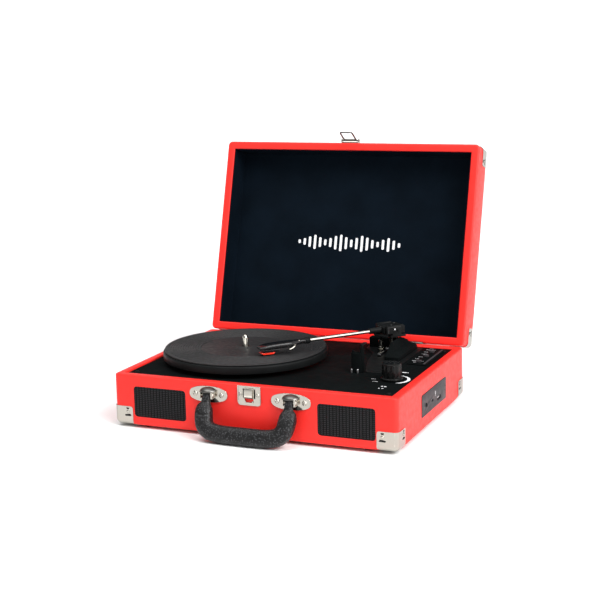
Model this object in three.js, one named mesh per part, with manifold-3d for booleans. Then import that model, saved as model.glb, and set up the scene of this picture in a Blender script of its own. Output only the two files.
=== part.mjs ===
// A suitcase record player: a leatherette case with a hinged lid, a belt-driven
// platter, a pivoted tonearm with a cueing lift, two front speakers and a handle.
// Millimetres. +X is to the right of a person facing the front, +Y to the back, +Z up.
// Every "case" coordinate is measured from the middle of the base box, at table level.

import * as THREE from 'three';
import { mergeVertices } from 'three/addons/utils/BufferGeometryUtils.js';
import Module from 'manifold-3d';

const wasm = await Module();
wasm.setup();

// ---------------------------------------------------------------- driving dimensions

const CASE_WIDTH = 350;
const CASE_DEPTH = 255;
const FOOT_HEIGHT = 4;
const BASE_HEIGHT = 60;
const LID_HEIGHT = 39.6;
const WALL = 10;
const LID_BOARD = 5;
const CORNER_RADIUS = 9;
const GAP = 0.3;
const LID_OPEN_DEG = 106;

const HALF_W = CASE_WIDTH / 2;
const HALF_D = CASE_DEPTH / 2;
const RIM_Z = FOOT_HEIGHT + BASE_HEIGHT;
const LID_RIM_Z = RIM_Z + 0.4;
const LID_TOP_Z = LID_RIM_Z + LID_HEIGHT;
const INNER_X = HALF_W - WALL;
const INNER_Y = HALF_D - WALL;

// The open lid overhangs the back, so the case stands forward of the part's origin.
const CASE_SHIFT_Y = -40;

const HINGE = { y: HALF_D + 0.5, z: RIM_Z + 0.2, x: 105, barrel: 2, pin: 0.8 };
const LEAF = { half: 17, knuckle: 5.5, height: 15, clear: 2.4, thickness: 1.1 };
const DECK = { top: 62, thickness: 3.5 };
const FOOT = { x: 138, y: 112, radius: 7 };
const CORNER = { reach: 24, height: 22, thickness: 0.6 };
const GRILLE = { x: 115.5, z: 32.3, width: 67.5, height: 36, corner: 4, depth: 2.4 };
const SIDE_PANEL = { y: 4, z: 32, width: 94, height: 26, depth: 2.6, corner: 2 };
const REAR_PANEL = { x: -95, z: 30, width: 70, height: 22, depth: 2.6, corner: 2 };

const SPINDLE = { x: -60, y: -8, radius: 3.5, bottom: 50, top: 93.3 };
const PLATTER = { radius: 100, top: 77, skirt: 68, web: 72.5, ring: 60 };
const MAT = { radius: 98, top: 79 };
const PULLEY = { radius: 6, distance: 80, bearing_deg: 120, bottom: 66.5, top: 72 };
const BELT = { thickness: 0.8, bottom: 67.8, top: 71.8 };

const ARM = { x: 96, y: 88, z: 91, direction_deg: 231.6, tube_radius: 2.3 };
const ARM_TUBE = { start: 34.3, end: 123.7 };
const HEAD = { start: 124, length: 60, offset_deg: -5, top: 93.2, bottom: 86.6, width: 16 };
const STYLUS_TIP_Z = MAT.top + 1.4;
const REST = { x: 90.3, y: -24, half: 4.5, post_x: 86, rod_x: 96.8, finger: 12 };
const CUE = { x: 87, y: 71, lever_x: 97, lever_y: 66, lever_z: 69, lever_length: 30 };
const KNOB = { x: 140.5, y: -46, skirt: 12.6, body: 11.2, dome: 10.4, bottom: 62.8, top: 82 };
const CONTROLS = { x: 146, y: 68, width: 24, length: 82, top: 63.3 };
const SWITCHES = [
  { name: 'speed_switch', y: 42, travel: 8 },
  { name: 'autostop_switch', y: 68, travel: 4 },
  { name: 'mode_switch', y: 94, travel: 8 },
];

const HANDLE = { x: 51, y: -133.2, z: 50, lean_deg: 22, drop: 42.5, grip: 21, thick: 16 };
const CATCH = { width: 28.4, bottom: 41, top: 63.6, thickness: 1.2 };
const HASP = { y: -131.2, z: 68.2, lift_deg: 18, reach: 21.7, half: 9.2, bar: 2 };

// ---------------------------------------------------------------- colours

const RED = { color: 0xe0281f, roughness: 0.55, metalness: 0 };
const BLACK_MATTE = { color: 0x141517, roughness: 0.6, metalness: 0 };
const BLACK_GLOSS = { color: 0x0c0c0d, roughness: 0.2, metalness: 0 };
const LINING_BLACK = { color: 0x0c1016, roughness: 0.8, metalness: 0 };
const GREY_PLASTIC = { color: 0x4a4649, roughness: 0.5, metalness: 0 };
const CHROME = { color: 0xd8d4cc, roughness: 0.12, metalness: 1 };
const STEEL = { color: 0x9a9a9c, roughness: 0.35, metalness: 1 };
const BRASS = { color: 0xb08d4f, roughness: 0.3, metalness: 1 };
const RUBBER = { color: 0x111111, roughness: 0.85, metalness: 0 };
const STYLUS_RED = { color: 0xf01a08, roughness: 0.3, metalness: 0 };
const BOARD_GREEN = { color: 0x1e5a34, roughness: 0.5, metalness: 0 };
const FIBREBOARD = { color: 0x6d563c, roughness: 0.85, metalness: 0 };

// ---------------------------------------------------------------- solids

function signedVolume(positions, triangles) {
  const a = new THREE.Vector3();
  const b = new THREE.Vector3();
  const c = new THREE.Vector3();
  let volume = 0;
  for (let i = 0; i < triangles.length; i += 3) {
    a.fromArray(positions, 3 * triangles[i]);
    b.fromArray(positions, 3 * triangles[i + 1]);
    c.fromArray(positions, 3 * triangles[i + 2]);
    volume += a.dot(b.cross(c)) / 6;
  }
  return volume;
}

function toSolid(geometry) {
  const bare = geometry.clone();
  bare.deleteAttribute('normal');
  bare.deleteAttribute('uv');
  const merged = mergeVertices(bare, 1e-3);
  const positions = merged.attributes.position.array;
  const index = merged.index.array;
  let triangles = [];
  for (let i = 0; i < index.length; i += 3) {
    const [a, b, c] = [index[i], index[i + 1], index[i + 2]];
    if (a !== b && b !== c && c !== a) triangles.push(a, b, c);
  }
  if (signedVolume(positions, triangles) < 0) triangles = triangles.reverse();
  return new wasm.Manifold(new wasm.Mesh({
    numProp: 3,
    vertProperties: new Float32Array(positions),
    triVerts: new Uint32Array(triangles),
  }));
}

function toGeometry(solid) {
  const mesh = solid.getMesh();
  const geometry = new THREE.BufferGeometry();
  geometry.setAttribute('position', new THREE.BufferAttribute(mesh.vertProperties, 3));
  geometry.setIndex(new THREE.BufferAttribute(mesh.triVerts, 1));
  geometry.computeVertexNormals();
  return geometry;
}

function combine(operation, first, others) {
  let solid = toSolid(first);
  for (const other of others) solid = solid[operation](toSolid(other));
  return toGeometry(solid);
}

const join = (first, ...others) => combine('add', first, others);
const cut = (first, ...others) => combine('subtract', first, others);
const overlap = (first, ...others) => combine('intersect', first, others);

// ---------------------------------------------------------------- basic shapes

function block(x0, x1, y0, y1, z0, z1) {
  const box = new THREE.BoxGeometry(x1 - x0, y1 - y0, z1 - z0);
  return box.translate((x0 + x1) / 2, (y0 + y1) / 2, (z0 + z1) / 2);
}

function roundedRectangle(width, height, radius) {
  const x = width / 2 - radius;
  const y = height / 2 - radius;
  const shape = new THREE.Shape();
  shape.absarc(x, y, radius, 0, Math.PI / 2);
  shape.absarc(-x, y, radius, Math.PI / 2, Math.PI);
  shape.absarc(-x, -y, radius, Math.PI, 1.5 * Math.PI);
  shape.absarc(x, -y, radius, 1.5 * Math.PI, 2 * Math.PI);
  return shape;
}

function polygon(points) {
  return new THREE.Shape(points.map(([x, y]) => new THREE.Vector2(x, y)));
}

// A flat outline in the XY plane, raised from z0 to z1.
function raised(shape, z0, z1, segments = 4) {
  const settings = { depth: z1 - z0, bevelEnabled: false, curveSegments: segments };
  return new THREE.ExtrudeGeometry(shape, settings).translate(0, 0, z0);
}

// An outline drawn in the XZ plane, filling y0 to y1.
function standing(shape, y0, y1, segments = 4) {
  return raised(shape, -y1, -y0, segments).rotateX(Math.PI / 2);
}

// An outline drawn in the YZ plane, filling x0 to x1.
function sideways(shape, x0, x1, segments = 4) {
  const settings = { depth: x1 - x0, bevelEnabled: false, curveSegments: segments };
  const plate = new THREE.ExtrudeGeometry(shape, settings);
  return plate.rotateX(Math.PI / 2).rotateZ(Math.PI / 2).translate(x0, 0, 0);
}

// A profile of [radius, height] points turned about the vertical axis.
function turned(profile, segments = 20) {
  const points = profile.map(([radius, height]) => new THREE.Vector2(radius, height));
  return new THREE.LatheGeometry(points, segments).rotateX(Math.PI / 2);
}

// The same, for a profile that goes round a bore and so closes on itself.
function turnedRing(profile, segments = 20) {
  return turned([...profile, profile[0]], segments);
}

function rod(radius, z0, z1, segments = 12) {
  return turned([[0, z0], [radius, z0], [radius, z1], [0, z1]], segments);
}

function rodAlongX(radius, x0, x1, segments = 12) {
  return rod(radius, x0, x1, segments).rotateY(Math.PI / 2);
}

function rodAlongY(radius, y0, y1, segments = 12) {
  return rod(radius, y0, y1, segments).rotateX(-Math.PI / 2);
}

// ---------------------------------------------------------------- the assembly

const root = new THREE.Group();
const caseFrame = new THREE.Group();
caseFrame.position.y = CASE_SHIFT_Y;
root.add(caseFrame);

function addPart(name, geometry, finish, parent = caseFrame) {
  const mesh = new THREE.Mesh(geometry, new THREE.MeshStandardMaterial(finish));
  mesh.name = name;
  parent.add(mesh);
  return mesh;
}

function frameAt(parent, x, y, z) {
  const frame = new THREE.Group();
  frame.position.set(x, y, z);
  parent.add(frame);
  return frame;
}

const radians = THREE.MathUtils.degToRad;
const SIDES = [['left', -1], ['right', 1]];
const CORNERS = [
  ['front_left', -1, -1],
  ['front_right', 1, -1],
  ['back_left', -1, 1],
  ['back_right', 1, 1],
];

// ---------------------------------------------------------------- base box

function caseOutline(grow = 0) {
  const radius = CORNER_RADIUS + grow;
  return roundedRectangle(CASE_WIDTH + 2 * grow, CASE_DEPTH + 2 * grow, radius);
}

function panelOutline(panel, grow = 0) {
  const width = panel.width + 2 * grow;
  return roundedRectangle(width, panel.height + 2 * grow, panel.corner + grow);
}

function grilleAt(side, grow, y0, y1) {
  const plate = standing(panelOutline(GRILLE, grow), y0, y1);
  return plate.translate(side * GRILLE.x, 0, GRILLE.z);
}

function sidePanelAt(grow, x0, x1) {
  return sideways(panelOutline(SIDE_PANEL, grow), x0, x1).translate(0, SIDE_PANEL.y, SIDE_PANEL.z);
}

function rearPanelAt(grow, y0, y1) {
  return standing(panelOutline(REAR_PANEL, grow), y0, y1).translate(REAR_PANEL.x, 0, REAR_PANEL.z);
}

// The notch in the top of the back wall, or the foot of the lid's, that clears a hinge barrel.
function hingePocket(side) {
  const [x, y] = [side * HINGE.x, HINGE.y - HINGE.barrel - GAP];
  const reach = LEAF.half + GAP;
  const rise = HINGE.barrel + GAP;
  return block(x - reach, x + reach, y, HALF_D + 1, HINGE.z - rise, HINGE.z + rise);
}

function baseCase() {
  return cut(
    raised(caseOutline(), FOOT_HEIGHT, RIM_Z),
    block(-INNER_X, INNER_X, -INNER_Y, INNER_Y, 0, RIM_Z + 1),
    grilleAt(-1, GAP, -HALF_D - 1, -INNER_Y + 1),
    grilleAt(1, GAP, -HALF_D - 1, -INNER_Y + 1),
    sidePanelAt(GAP, INNER_X - 1, HALF_W + 1),
    rearPanelAt(GAP, INNER_Y - 1, HALF_D + 1),
    hingePocket(-1),
    hingePocket(1),
  );
}

const BOARD_POST = { x: [72, 152], y: [-50, 100], radius: 3, top: 33.6 };

function bottomBoard() {
  const x = INNER_X - GAP;
  const y = INNER_Y - GAP;
  const posts = [];
  for (const postX of BOARD_POST.x) {
    for (const postY of BOARD_POST.y) {
      posts.push(rod(BOARD_POST.radius, 7, BOARD_POST.top).translate(postX, postY, 0));
    }
  }
  return join(block(-x, x, -y, y, FOOT_HEIGHT, FOOT_HEIGHT + 4), ...posts);
}

function foot() {
  const top = FOOT_HEIGHT - GAP;
  return turned([[0, 0], [FOOT.radius - 1, 0], [FOOT.radius, 1], [FOOT.radius, top], [0, top]], 20);
}

// A thin cap wrapped over one corner: two walls, the round between them and an end face.
function cornerCap(sideX, sideY, z0, z1, zStart, zEnd) {
  const skin = CORNER.thickness;
  const [x, y] = [sideX * HALF_W, sideY * HALF_D];
  const shell = cut(
    raised(caseOutline(GAP + skin), z0 - GAP - skin, z1 + GAP + skin),
    raised(caseOutline(GAP), z0 - GAP, z1 + GAP),
  );
  const reachX = x - sideX * CORNER.reach;
  const reachY = y - sideY * CORNER.reach;
  return overlap(shell, block(
    Math.min(reachX, x + sideX * 3), Math.max(reachX, x + sideX * 3),
    Math.min(reachY, y + sideY * 3), Math.max(reachY, y + sideY * 3),
    zStart, zEnd,
  ));
}

function addBaseBox() {
  addPart('base_case', baseCase(), RED);
  addPart('bottom_board', bottomBoard(), FIBREBOARD);
  for (const [place, sideX, sideY] of CORNERS) {
    addPart(`foot_${place}`, foot(), RUBBER).position.set(sideX * FOOT.x, sideY * FOOT.y, 0);
    const capTop = FOOT_HEIGHT + CORNER.height;
    const cap = cornerCap(sideX, sideY, FOOT_HEIGHT, RIM_Z, 0, capTop);
    addPart(`base_corner_${place}`, cap, CHROME);
  }
}

// ---------------------------------------------------------------- speakers and sockets

function speakerDriver() {
  const profile = [
    [0, 0], [8, 0], [19, 2.5], [22, 2.5], [22, 5], [19.5, 5.4], [15, 14],
    [15, 22], [0, 22],
  ];
  return turned(profile).rotateX(-Math.PI / 2);
}

function sideIoPanel() {
  const outer = HALF_W + 0.6;
  const inner = outer - SIDE_PANEL.depth;
  return cut(
    sidePanelAt(0, inner, outer),
    rodAlongX(2.6, inner - 1, outer + 1).translate(0, SIDE_PANEL.y - 31, SIDE_PANEL.z - 1.5),
    block(inner - 1, outer + 1, SIDE_PANEL.y - 11, SIDE_PANEL.y - 4.5, 28.6, 31.4),
    block(inner - 1, outer + 1, SIDE_PANEL.y + 11, SIDE_PANEL.y + 25, 24.4, 29),
  );
}

function rearIoPanel() {
  const outer = HALF_D + 0.6;
  const inner = outer - REAR_PANEL.depth;
  const hole = (offset, radius) => rodAlongY(radius, inner - 1, outer + 1)
    .translate(REAR_PANEL.x + offset, 0, REAR_PANEL.z);
  return cut(rearPanelAt(0, inner, outer), hole(-22, 4), hole(-4, 4), hole(22, 3));
}

function addSpeakersAndSockets() {
  const face = -HALF_D - 0.2;
  for (const [side, sign] of SIDES) {
    const grille = grilleAt(sign, 0, face, face + GRILLE.depth);
    addPart(`speaker_grille_${side}`, grille, BLACK_MATTE);
    const driver = addPart(`speaker_driver_${side}`, speakerDriver(), STEEL);
    driver.position.set(sign * GRILLE.x, -HALF_D + GRILLE.depth + 8, GRILLE.z);
  }
  addPart('side_io_panel', sideIoPanel(), GREY_PLASTIC);
  addPart('rear_io_panel', rearIoPanel(), GREY_PLASTIC);
  const board = block(66, 158, -56, 106, BOARD_POST.top + GAP, BOARD_POST.top + GAP + 1.6);
  addPart('circuit_board', board, BOARD_GREEN);
}

// ---------------------------------------------------------------- deck and platter drive

const motorAngle = radians(PULLEY.bearing_deg);
const MOTOR = {
  x: SPINDLE.x + PULLEY.distance * Math.cos(motorAngle),
  y: SPINDLE.y + PULLEY.distance * Math.sin(motorAngle),
};

function deckPlate() {
  const x = INNER_X - GAP;
  const y = INNER_Y - GAP;
  const bottom = DECK.top - DECK.thickness;
  const hole = (radius, atX, atY) => rod(radius, bottom - 1, DECK.top + 1).translate(atX, atY, 0);
  const slotX = 8;
  const slotY = CONTROLS.length / 2 - 8;
  return cut(
    block(-x, x, -y, y, bottom, DECK.top),
    hole(8.4, SPINDLE.x, SPINDLE.y),
    hole(9, MOTOR.x, MOTOR.y),
    hole(5.3, KNOB.x, KNOB.y),
    block(
      CONTROLS.x - slotX, CONTROLS.x + slotX,
      CONTROLS.y - slotY, CONTROLS.y + slotY,
      bottom - 1, DECK.top + 1,
    ),
  );
}

function platter() {
  const bore = SPINDLE.radius + 0.4;
  const { radius, top, skirt, web, ring } = PLATTER;
  return turnedRing([
    [bore, 64.6], [12, 64.6], [12, web], [ring - 4, web], [ring - 4, 67.5], [ring, 67.5],
    [ring, web], [radius - 3, web], [radius - 3, skirt], [radius, skirt],
    [radius, top - 1], [radius - 1, top], [bore, top],
  ], 48);
}

function platterMat() {
  const bore = SPINDLE.radius + 0.7;
  const bottom = PLATTER.top + GAP;
  const rim = MAT.radius;
  return turnedRing([[bore, bottom], [rim, bottom], [rim, MAT.top], [bore, MAT.top]], 48);
}

function spindle() {
  const { radius, bottom, top } = SPINDLE;
  return turned([
    [0, bottom], [radius, bottom], [radius, top - 3], [radius * 0.7, top - 0.9], [0, top],
  ], 20);
}

function bearingBush() {
  const bore = SPINDLE.radius + 0.4;
  const seat = DECK.top + GAP;
  return turnedRing([[bore, 54], [8, 54], [8, seat], [11, seat], [11, 64], [bore, 64]], 24);
}

function motor() {
  return turnedRing([[1.6, 30], [16, 30], [16, 56], [4, 56], [4, 58], [1.6, 58]], 24);
}

function motorPulley() {
  const { radius, bottom, top } = PULLEY;
  return turned([
    [0, 40], [1.2, 40], [1.2, bottom], [radius + 0.8, bottom], [radius + 0.8, bottom + 0.8],
    [radius, bottom + 0.8], [radius, top], [0, top],
  ], 24);
}

function beltOutline(largeRadius, smallRadius) {
  const distance = PULLEY.distance;
  const tangent = Math.acos((largeRadius - smallRadius) / distance);
  const path = new THREE.Path();
  path.absarc(0, 0, largeRadius, tangent, 2 * Math.PI - tangent);
  path.absarc(distance, 0, smallRadius, -tangent, tangent);
  return path;
}

function driveBelt() {
  const clear = 0.35;
  const inner = beltOutline(PLATTER.ring + clear, PULLEY.radius + clear);
  const far = clear + BELT.thickness;
  const outer = beltOutline(PLATTER.ring + far, PULLEY.radius + far);
  const shape = new THREE.Shape(outer.getPoints(16));
  shape.holes.push(new THREE.Path(inner.getPoints(16)));
  return raised(shape, BELT.bottom, BELT.top);
}

function addDeckAndDrive() {
  addPart('deck_plate', deckPlate(), BLACK_MATTE);
  const turntable = frameAt(caseFrame, SPINDLE.x, SPINDLE.y, 0);
  addPart('platter', platter(), BLACK_MATTE, turntable);
  addPart('platter_mat', platterMat(), RUBBER, turntable);
  addPart('spindle', spindle(), CHROME, turntable);
  addPart('bearing_bush', bearingBush(), BRASS, turntable);
  addPart('drive_belt', driveBelt(), RUBBER, turntable).rotation.z = motorAngle;
  const drive = frameAt(caseFrame, MOTOR.x, MOTOR.y, 0);
  addPart('motor', motor(), STEEL, drive);
  addPart('motor_pulley', motorPulley(), BRASS, drive);
}

// ---------------------------------------------------------------- tonearm

const HOUSING = { left: 103, right: 122, front: 36, back: 106, ridge: 80.5, deck: 62.3 };
const HOUSING_WING = { left: 62, front: 97, back: 108, top: 75.5 };

// A low cover with a ridge along its left edge, sloped down to the front and the right. A wing
// runs from it behind the pillar.
function tonearmHousing() {
  const { left, right, front, back, ridge, deck } = HOUSING;
  const wing = HOUSING_WING;
  const section = standing(
    polygon([[left, deck], [right, deck], [right, 67.5], [right - 2, 69.5], [left + 8, 72],
      [left + 3, ridge], [left, ridge - 1]]),
    front, back,
  );
  const profile = sideways(
    polygon([[front, deck], [back, deck], [back, 74], [back - 16, ridge], [front + 26, ridge],
      [front, 67]]),
    left, right,
  );
  return join(
    overlap(section, profile),
    block(wing.left, left + 2, wing.front, wing.back, deck, wing.top),
  );
}

function tonearmPillar() {
  const seat = DECK.top + GAP;
  return turned([
    [0, seat], [6, seat], [6, 64.5], [4.5, 65.5], [4.5, 81.8], [3, 81.8], [3, 84.6], [0, 84.6],
  ]);
}

// Arm parts are drawn with the pivot at the origin and the arm along +X, at case heights.
const BLOCK_HALF = 9;
const CHEEK = { thickness: 3, back: -4.5, front: 16.5, foot: 8, rise: 87, top: 97.2 };
const PIVOT_PIN = 1.5;

function tonearmYoke() {
  const { thickness, back, front, foot, rise, top } = CHEEK;
  const outer = BLOCK_HALF + 1 + thickness;
  const plate = cut(block(-11, 11, -outer, outer, 82.3, 85), rod(3.4, 80, 86));
  const side = polygon([[back, 84], [foot, 84], [foot, rise], [front, rise], [front, top], [back, top]]);
  const cheekAt = (y) => standing(side, y, y + thickness);
  const pin = rodAlongY(PIVOT_PIN, -outer - 0.8, outer + 0.8).translate(0, 0, ARM.z);
  return join(plate, cheekAt(-outer), cheekAt(outer - thickness), pin);
}

function tonearmBlock() {
  const half = BLOCK_HALF;
  const body = standing(
    polygon([[-12, 86], [10, 86.2], [12, 87.4], [18, 87.4], [18, 95], [14, 96.4], [-9, 96.4],
      [-12, 94.5]]),
    -half, half,
  );
  const socket = turned([[0, 12], [4.4, 12], [3.4, 34], [0, 34]], 20)
    .rotateY(Math.PI / 2).translate(0, 0, ARM.z);
  const bore = rodAlongY(PIVOT_PIN + 0.4, -half - 1, half + 1).translate(0, 0, ARM.z);
  return cut(join(body, socket), bore);
}

function tonearmTube() {
  return rodAlongX(ARM.tube_radius, ARM_TUBE.start, ARM_TUBE.end).translate(0, 0, ARM.z);
}

// The head is drawn from the tube's end along its own +X.
function headshell() {
  const { length, top, bottom, width } = HEAD;
  const side = standing(
    polygon([[0, 88.4], [9, 87.6], [14, bottom], [length, bottom], [length, 89.5],
      [length - 12, 92.4], [16, top], [0, 93.2]]),
    -width, width,
  );
  const plan = raised(
    polygon([[0, -3.2], [10, -4.2], [22, -width / 2], [length - 4, -width / 2],
      [length, -width / 2 + 3], [length, width / 2 - 3], [length - 4, width / 2],
      [22, width / 2], [10, 4.2], [0, 3.2]]),
    80, 100,
  );
  return overlap(side, plan);
}

function cartridge() {
  const top = HEAD.bottom - GAP;
  return standing(
    polygon([[36, 83], [55, 83], [57, top], [34, top]]),
    -5.5, 5.5,
  );
}

function stylus() {
  return standing(
    polygon([[42, STYLUS_TIP_Z], [55, STYLUS_TIP_Z], [58.5, 83 - GAP], [40, 83 - GAP]]),
    -4.5, 4.5,
  );
}

function addTonearm() {
  addPart('tonearm_housing', tonearmHousing(), BLACK_MATTE);
  addPart('tonearm_pillar', tonearmPillar(), CHROME).position.set(ARM.x, ARM.y, 0);
  const arm = frameAt(caseFrame, ARM.x, ARM.y, 0);
  arm.rotation.z = radians(ARM.direction_deg);
  addPart('tonearm_yoke', tonearmYoke(), BLACK_MATTE, arm);
  addPart('tonearm_block', tonearmBlock(), BLACK_MATTE, arm);
  addPart('tonearm_tube', tonearmTube(), CHROME, arm);
  const head = frameAt(arm, HEAD.start, 0, 0);
  head.rotation.z = radians(HEAD.offset_deg);
  addPart('headshell', headshell(), BLACK_GLOSS, head);
  addPart('cartridge', cartridge(), BLACK_GLOSS, head);
  addPart('stylus', stylus(), STYLUS_RED, head);
}

// ---------------------------------------------------------------- arm rest and cueing lift

// A block between two posts. The arm's tube parks in the dip between them.
function armRest() {
  const { y, half, post_x: postX, rod_x: rodX } = REST;
  const seat = DECK.top + GAP;
  const body = block(postX - 1, rodX, y - half, y + half, seat, 85);
  const post = rod(1.7, seat, 87.4).translate(postX, y, 0);
  const sleeve = rod(2.7, seat, 91).translate(rodX, y, 0);
  return cut(join(body, post, sleeve), rod(1.9, 66, 95).translate(rodX, y, 0));
}

// A turning post whose finger swings over the parked arm.
function armClip() {
  const finger = block(-1.5, 1.5, -1.5, REST.finger, 93.9, 95.6);
  return join(rod(1.5, 66.4, 95.6), finger);
}

function cueCylinder() {
  const seat = DECK.top + GAP;
  return turnedRing([[2, seat], [5, seat], [5, 64.4], [3.4, 65], [3.4, 80], [2, 80]], 20);
}

const CUE_ARC = { inner: 17.5, outer: 24.5, from_deg: 216, to_deg: 272, top: 86.1, thickness: 1.7 };

function cuePlatform() {
  const { inner, outer, top, thickness } = CUE_ARC;
  const [from, to] = [radians(CUE_ARC.from_deg), radians(CUE_ARC.to_deg)];
  const shape = new THREE.Shape();
  shape.absarc(0, 0, outer, from, to, false);
  shape.absarc(0, 0, inner, to, from, true);
  const sector = raised(shape, top - thickness, top, 10).translate(ARM.x, ARM.y, 0);
  return join(sector, rod(1.6, 66, top - 0.5).translate(CUE.x, CUE.y, 0));
}

// Drawn from its pivot, with the stick along -Y.
function cueLever() {
  const hub = rodAlongX(3.2, -2, 2);
  const axle = rodAlongX(1.4, -2, 5.6);
  const stick = block(-1.4, 1.4, -CUE.lever_length, 0, -1.2, 1.2);
  const tip = rodAlongX(2.4, -2.2, 2.2).translate(0, -CUE.lever_length, 0);
  return join(hub, axle, stick, tip);
}

function addRestAndCue() {
  addPart('arm_rest', armRest(), BLACK_MATTE);
  addPart('arm_clip', armClip(), BLACK_MATTE).position.set(REST.rod_x, REST.y, 0);
  addPart('cue_cylinder', cueCylinder(), CHROME).position.set(CUE.x, CUE.y, 0);
  addPart('cue_platform', cuePlatform(), BLACK_MATTE);
  const lever = addPart('cue_lever', cueLever(), BLACK_GLOSS);
  lever.position.set(CUE.lever_x, CUE.lever_y, CUE.lever_z);
}

// ---------------------------------------------------------------- knob and switches

const KNOB_FLUTES = 14;
const KNOB_FLUTE_DEPTH = 0.5;

function flutedOutline() {
  const shape = new THREE.Shape();
  const steps = KNOB_FLUTES * 4;
  for (let i = 0; i < steps; i += 1) {
    const angle = (2 * Math.PI * i) / steps;
    const radius = KNOB.body + KNOB_FLUTE_DEPTH * Math.cos(KNOB_FLUTES * angle);
    const [x, y] = [radius * Math.cos(angle), radius * Math.sin(angle)];
    if (i === 0) shape.moveTo(x, y);
    else shape.lineTo(x, y);
  }
  shape.closePath();
  return shape;
}

function volumeKnob() {
  const { skirt, dome: domeRadius, bottom, top } = KNOB;
  const base = turned([[0, bottom], [skirt, bottom], [skirt, bottom + 2.6], [0, bottom + 3.4]], 32);
  const dome = turned([
    [0, top - 3], [domeRadius, top - 3], [domeRadius, top - 0.8], [domeRadius - 1, top], [0, top],
  ], 28);
  const stem = rod(3, 48, bottom + 1);
  return join(base, raised(flutedOutline(), bottom + 2, top - 2), dome, stem);
}

function volumePot() {
  return turnedRing([[3.4, 46], [8.5, 46], [8.5, 56], [4.8, 56], [4.8, 61], [3.4, 61]], 24);
}

function controlPlate() {
  const outline = roundedRectangle(CONTROLS.width, CONTROLS.length, 2);
  const plate = raised(outline, DECK.top + GAP, CONTROLS.top, 4).translate(CONTROLS.x, CONTROLS.y, 0);
  const slots = SWITCHES.map(({ y, travel }) => block(
    CONTROLS.x - 2, CONTROLS.x + 2,
    y - travel / 2 - 2.5, y + travel / 2 + 2.5,
    DECK.top - 1, CONTROLS.top + 1,
  ));
  return cut(plate, ...slots);
}

// A switch cap on a stem that passes through its slot, drawn at the slot's middle.
function switchSlider() {
  const cap = block(-3, 3, -2.4, 2.4, CONTROLS.top + GAP, CONTROLS.top + 2.6);
  const stem = block(-1.4, 1.4, -1.8, 1.8, 56, CONTROLS.top + 1);
  return join(cap, stem);
}

function addControls() {
  addPart('volume_knob', volumeKnob(), BLACK_GLOSS).position.set(KNOB.x, KNOB.y, 0);
  addPart('volume_pot', volumePot(), STEEL).position.set(KNOB.x, KNOB.y, 0);
  addPart('control_plate', controlPlate(), BLACK_GLOSS);
  for (const { name, y, travel } of SWITCHES) {
    const slider = addPart(name, switchSlider(), GREY_PLASTIC);
    slider.position.set(CONTROLS.x, y - travel / 2, 0);
  }
}

// ---------------------------------------------------------------- handle

function bracketOutline() {
  const [tip, tipRadius, half] = [18, 4.6, 9];
  const shape = new THREE.Shape();
  shape.moveTo(tip, -tipRadius);
  shape.absarc(tip, 0, tipRadius, -Math.PI / 2, Math.PI / 2);
  shape.quadraticCurveTo(12, half, 7, half);
  shape.lineTo(-7, half);
  shape.quadraticCurveTo(-12, half, -tip, tipRadius);
  shape.absarc(-tip, 0, tipRadius, Math.PI / 2, 1.5 * Math.PI);
  shape.quadraticCurveTo(-12, -half, -7, -half);
  shape.lineTo(7, -half);
  shape.quadraticCurveTo(12, -half, tip, -tipRadius);
  return shape;
}

const BRACKET_LUG = { inner: 6.2, outer: 8.2, pin: 1.6 };

// A boat-shaped plate with two lugs that carry the handle's pin.
function handleBracket() {
  const face = -HALF_D - GAP;
  const { inner, outer, pin } = BRACKET_LUG;
  const plate = standing(bracketOutline(), face - 1.4, face).translate(0, 0, HANDLE.z);
  const lug = (x0, x1) => block(x0, x1, HANDLE.y - 3.6, face - 1, HANDLE.z - 4, HANDLE.z + 4);
  const axle = rodAlongX(pin, -outer, outer).translate(0, HANDLE.y, HANDLE.z);
  return join(plate, lug(-outer, -inner), lug(inner, outer), axle);
}

function gripSection(width, thickness, steps = 12) {
  const shape = new THREE.Shape();
  for (let i = 0; i < steps; i += 1) {
    const angle = (2 * Math.PI * i) / steps;
    const [x, y] = [(width / 2) * Math.cos(angle), (thickness / 2) * Math.sin(angle)];
    if (i === 0) shape.moveTo(x, y);
    else shape.lineTo(x, y);
  }
  shape.closePath();
  return shape;
}

// Drawn with its pivot at the origin, hanging straight down in the XZ plane.
function handleGrip() {
  const { x, drop, grip, thick } = HANDLE;
  const path = new THREE.CatmullRomCurve3([
    new THREE.Vector3(-x, 0, -8), new THREE.Vector3(-x - 0.5, 0, -22),
    new THREE.Vector3(-x + 3, 0, -35), new THREE.Vector3(-x + 14, 0, -drop + 0.6),
    new THREE.Vector3(0, 0, -drop),
    new THREE.Vector3(x - 14, 0, -drop + 0.6), new THREE.Vector3(x - 3, 0, -35),
    new THREE.Vector3(x + 0.5, 0, -22), new THREE.Vector3(x, 0, -8),
  ]);
  const settings = { steps: 24, bevelEnabled: false, extrudePath: path };
  const body = new THREE.ExtrudeGeometry(gripSection(thick, grip - 1), settings);
  const ears = SIDES.map(([, side]) => {
    const ear = block(-5.2, 5.2, -3.2, 3.2, -12, 0);
    const round = rodAlongX(3.2, -5.2, 5.2);
    return cut(join(ear, round), rodAlongX(2, -6, 6)).translate(side * x, 0, 0);
  });
  return join(body, ...ears);
}

function addHandle() {
  for (const [side, sign] of SIDES) {
    addPart(`handle_bracket_${side}`, handleBracket(), CHROME).position.x = sign * HANDLE.x;
  }
  const grip = addPart('handle_grip', handleGrip(), BLACK_MATTE);
  grip.position.set(0, HANDLE.y, HANDLE.z);
  grip.rotation.x = -radians(HANDLE.lean_deg);
}

// ---------------------------------------------------------------- latch catch on the base

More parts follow.
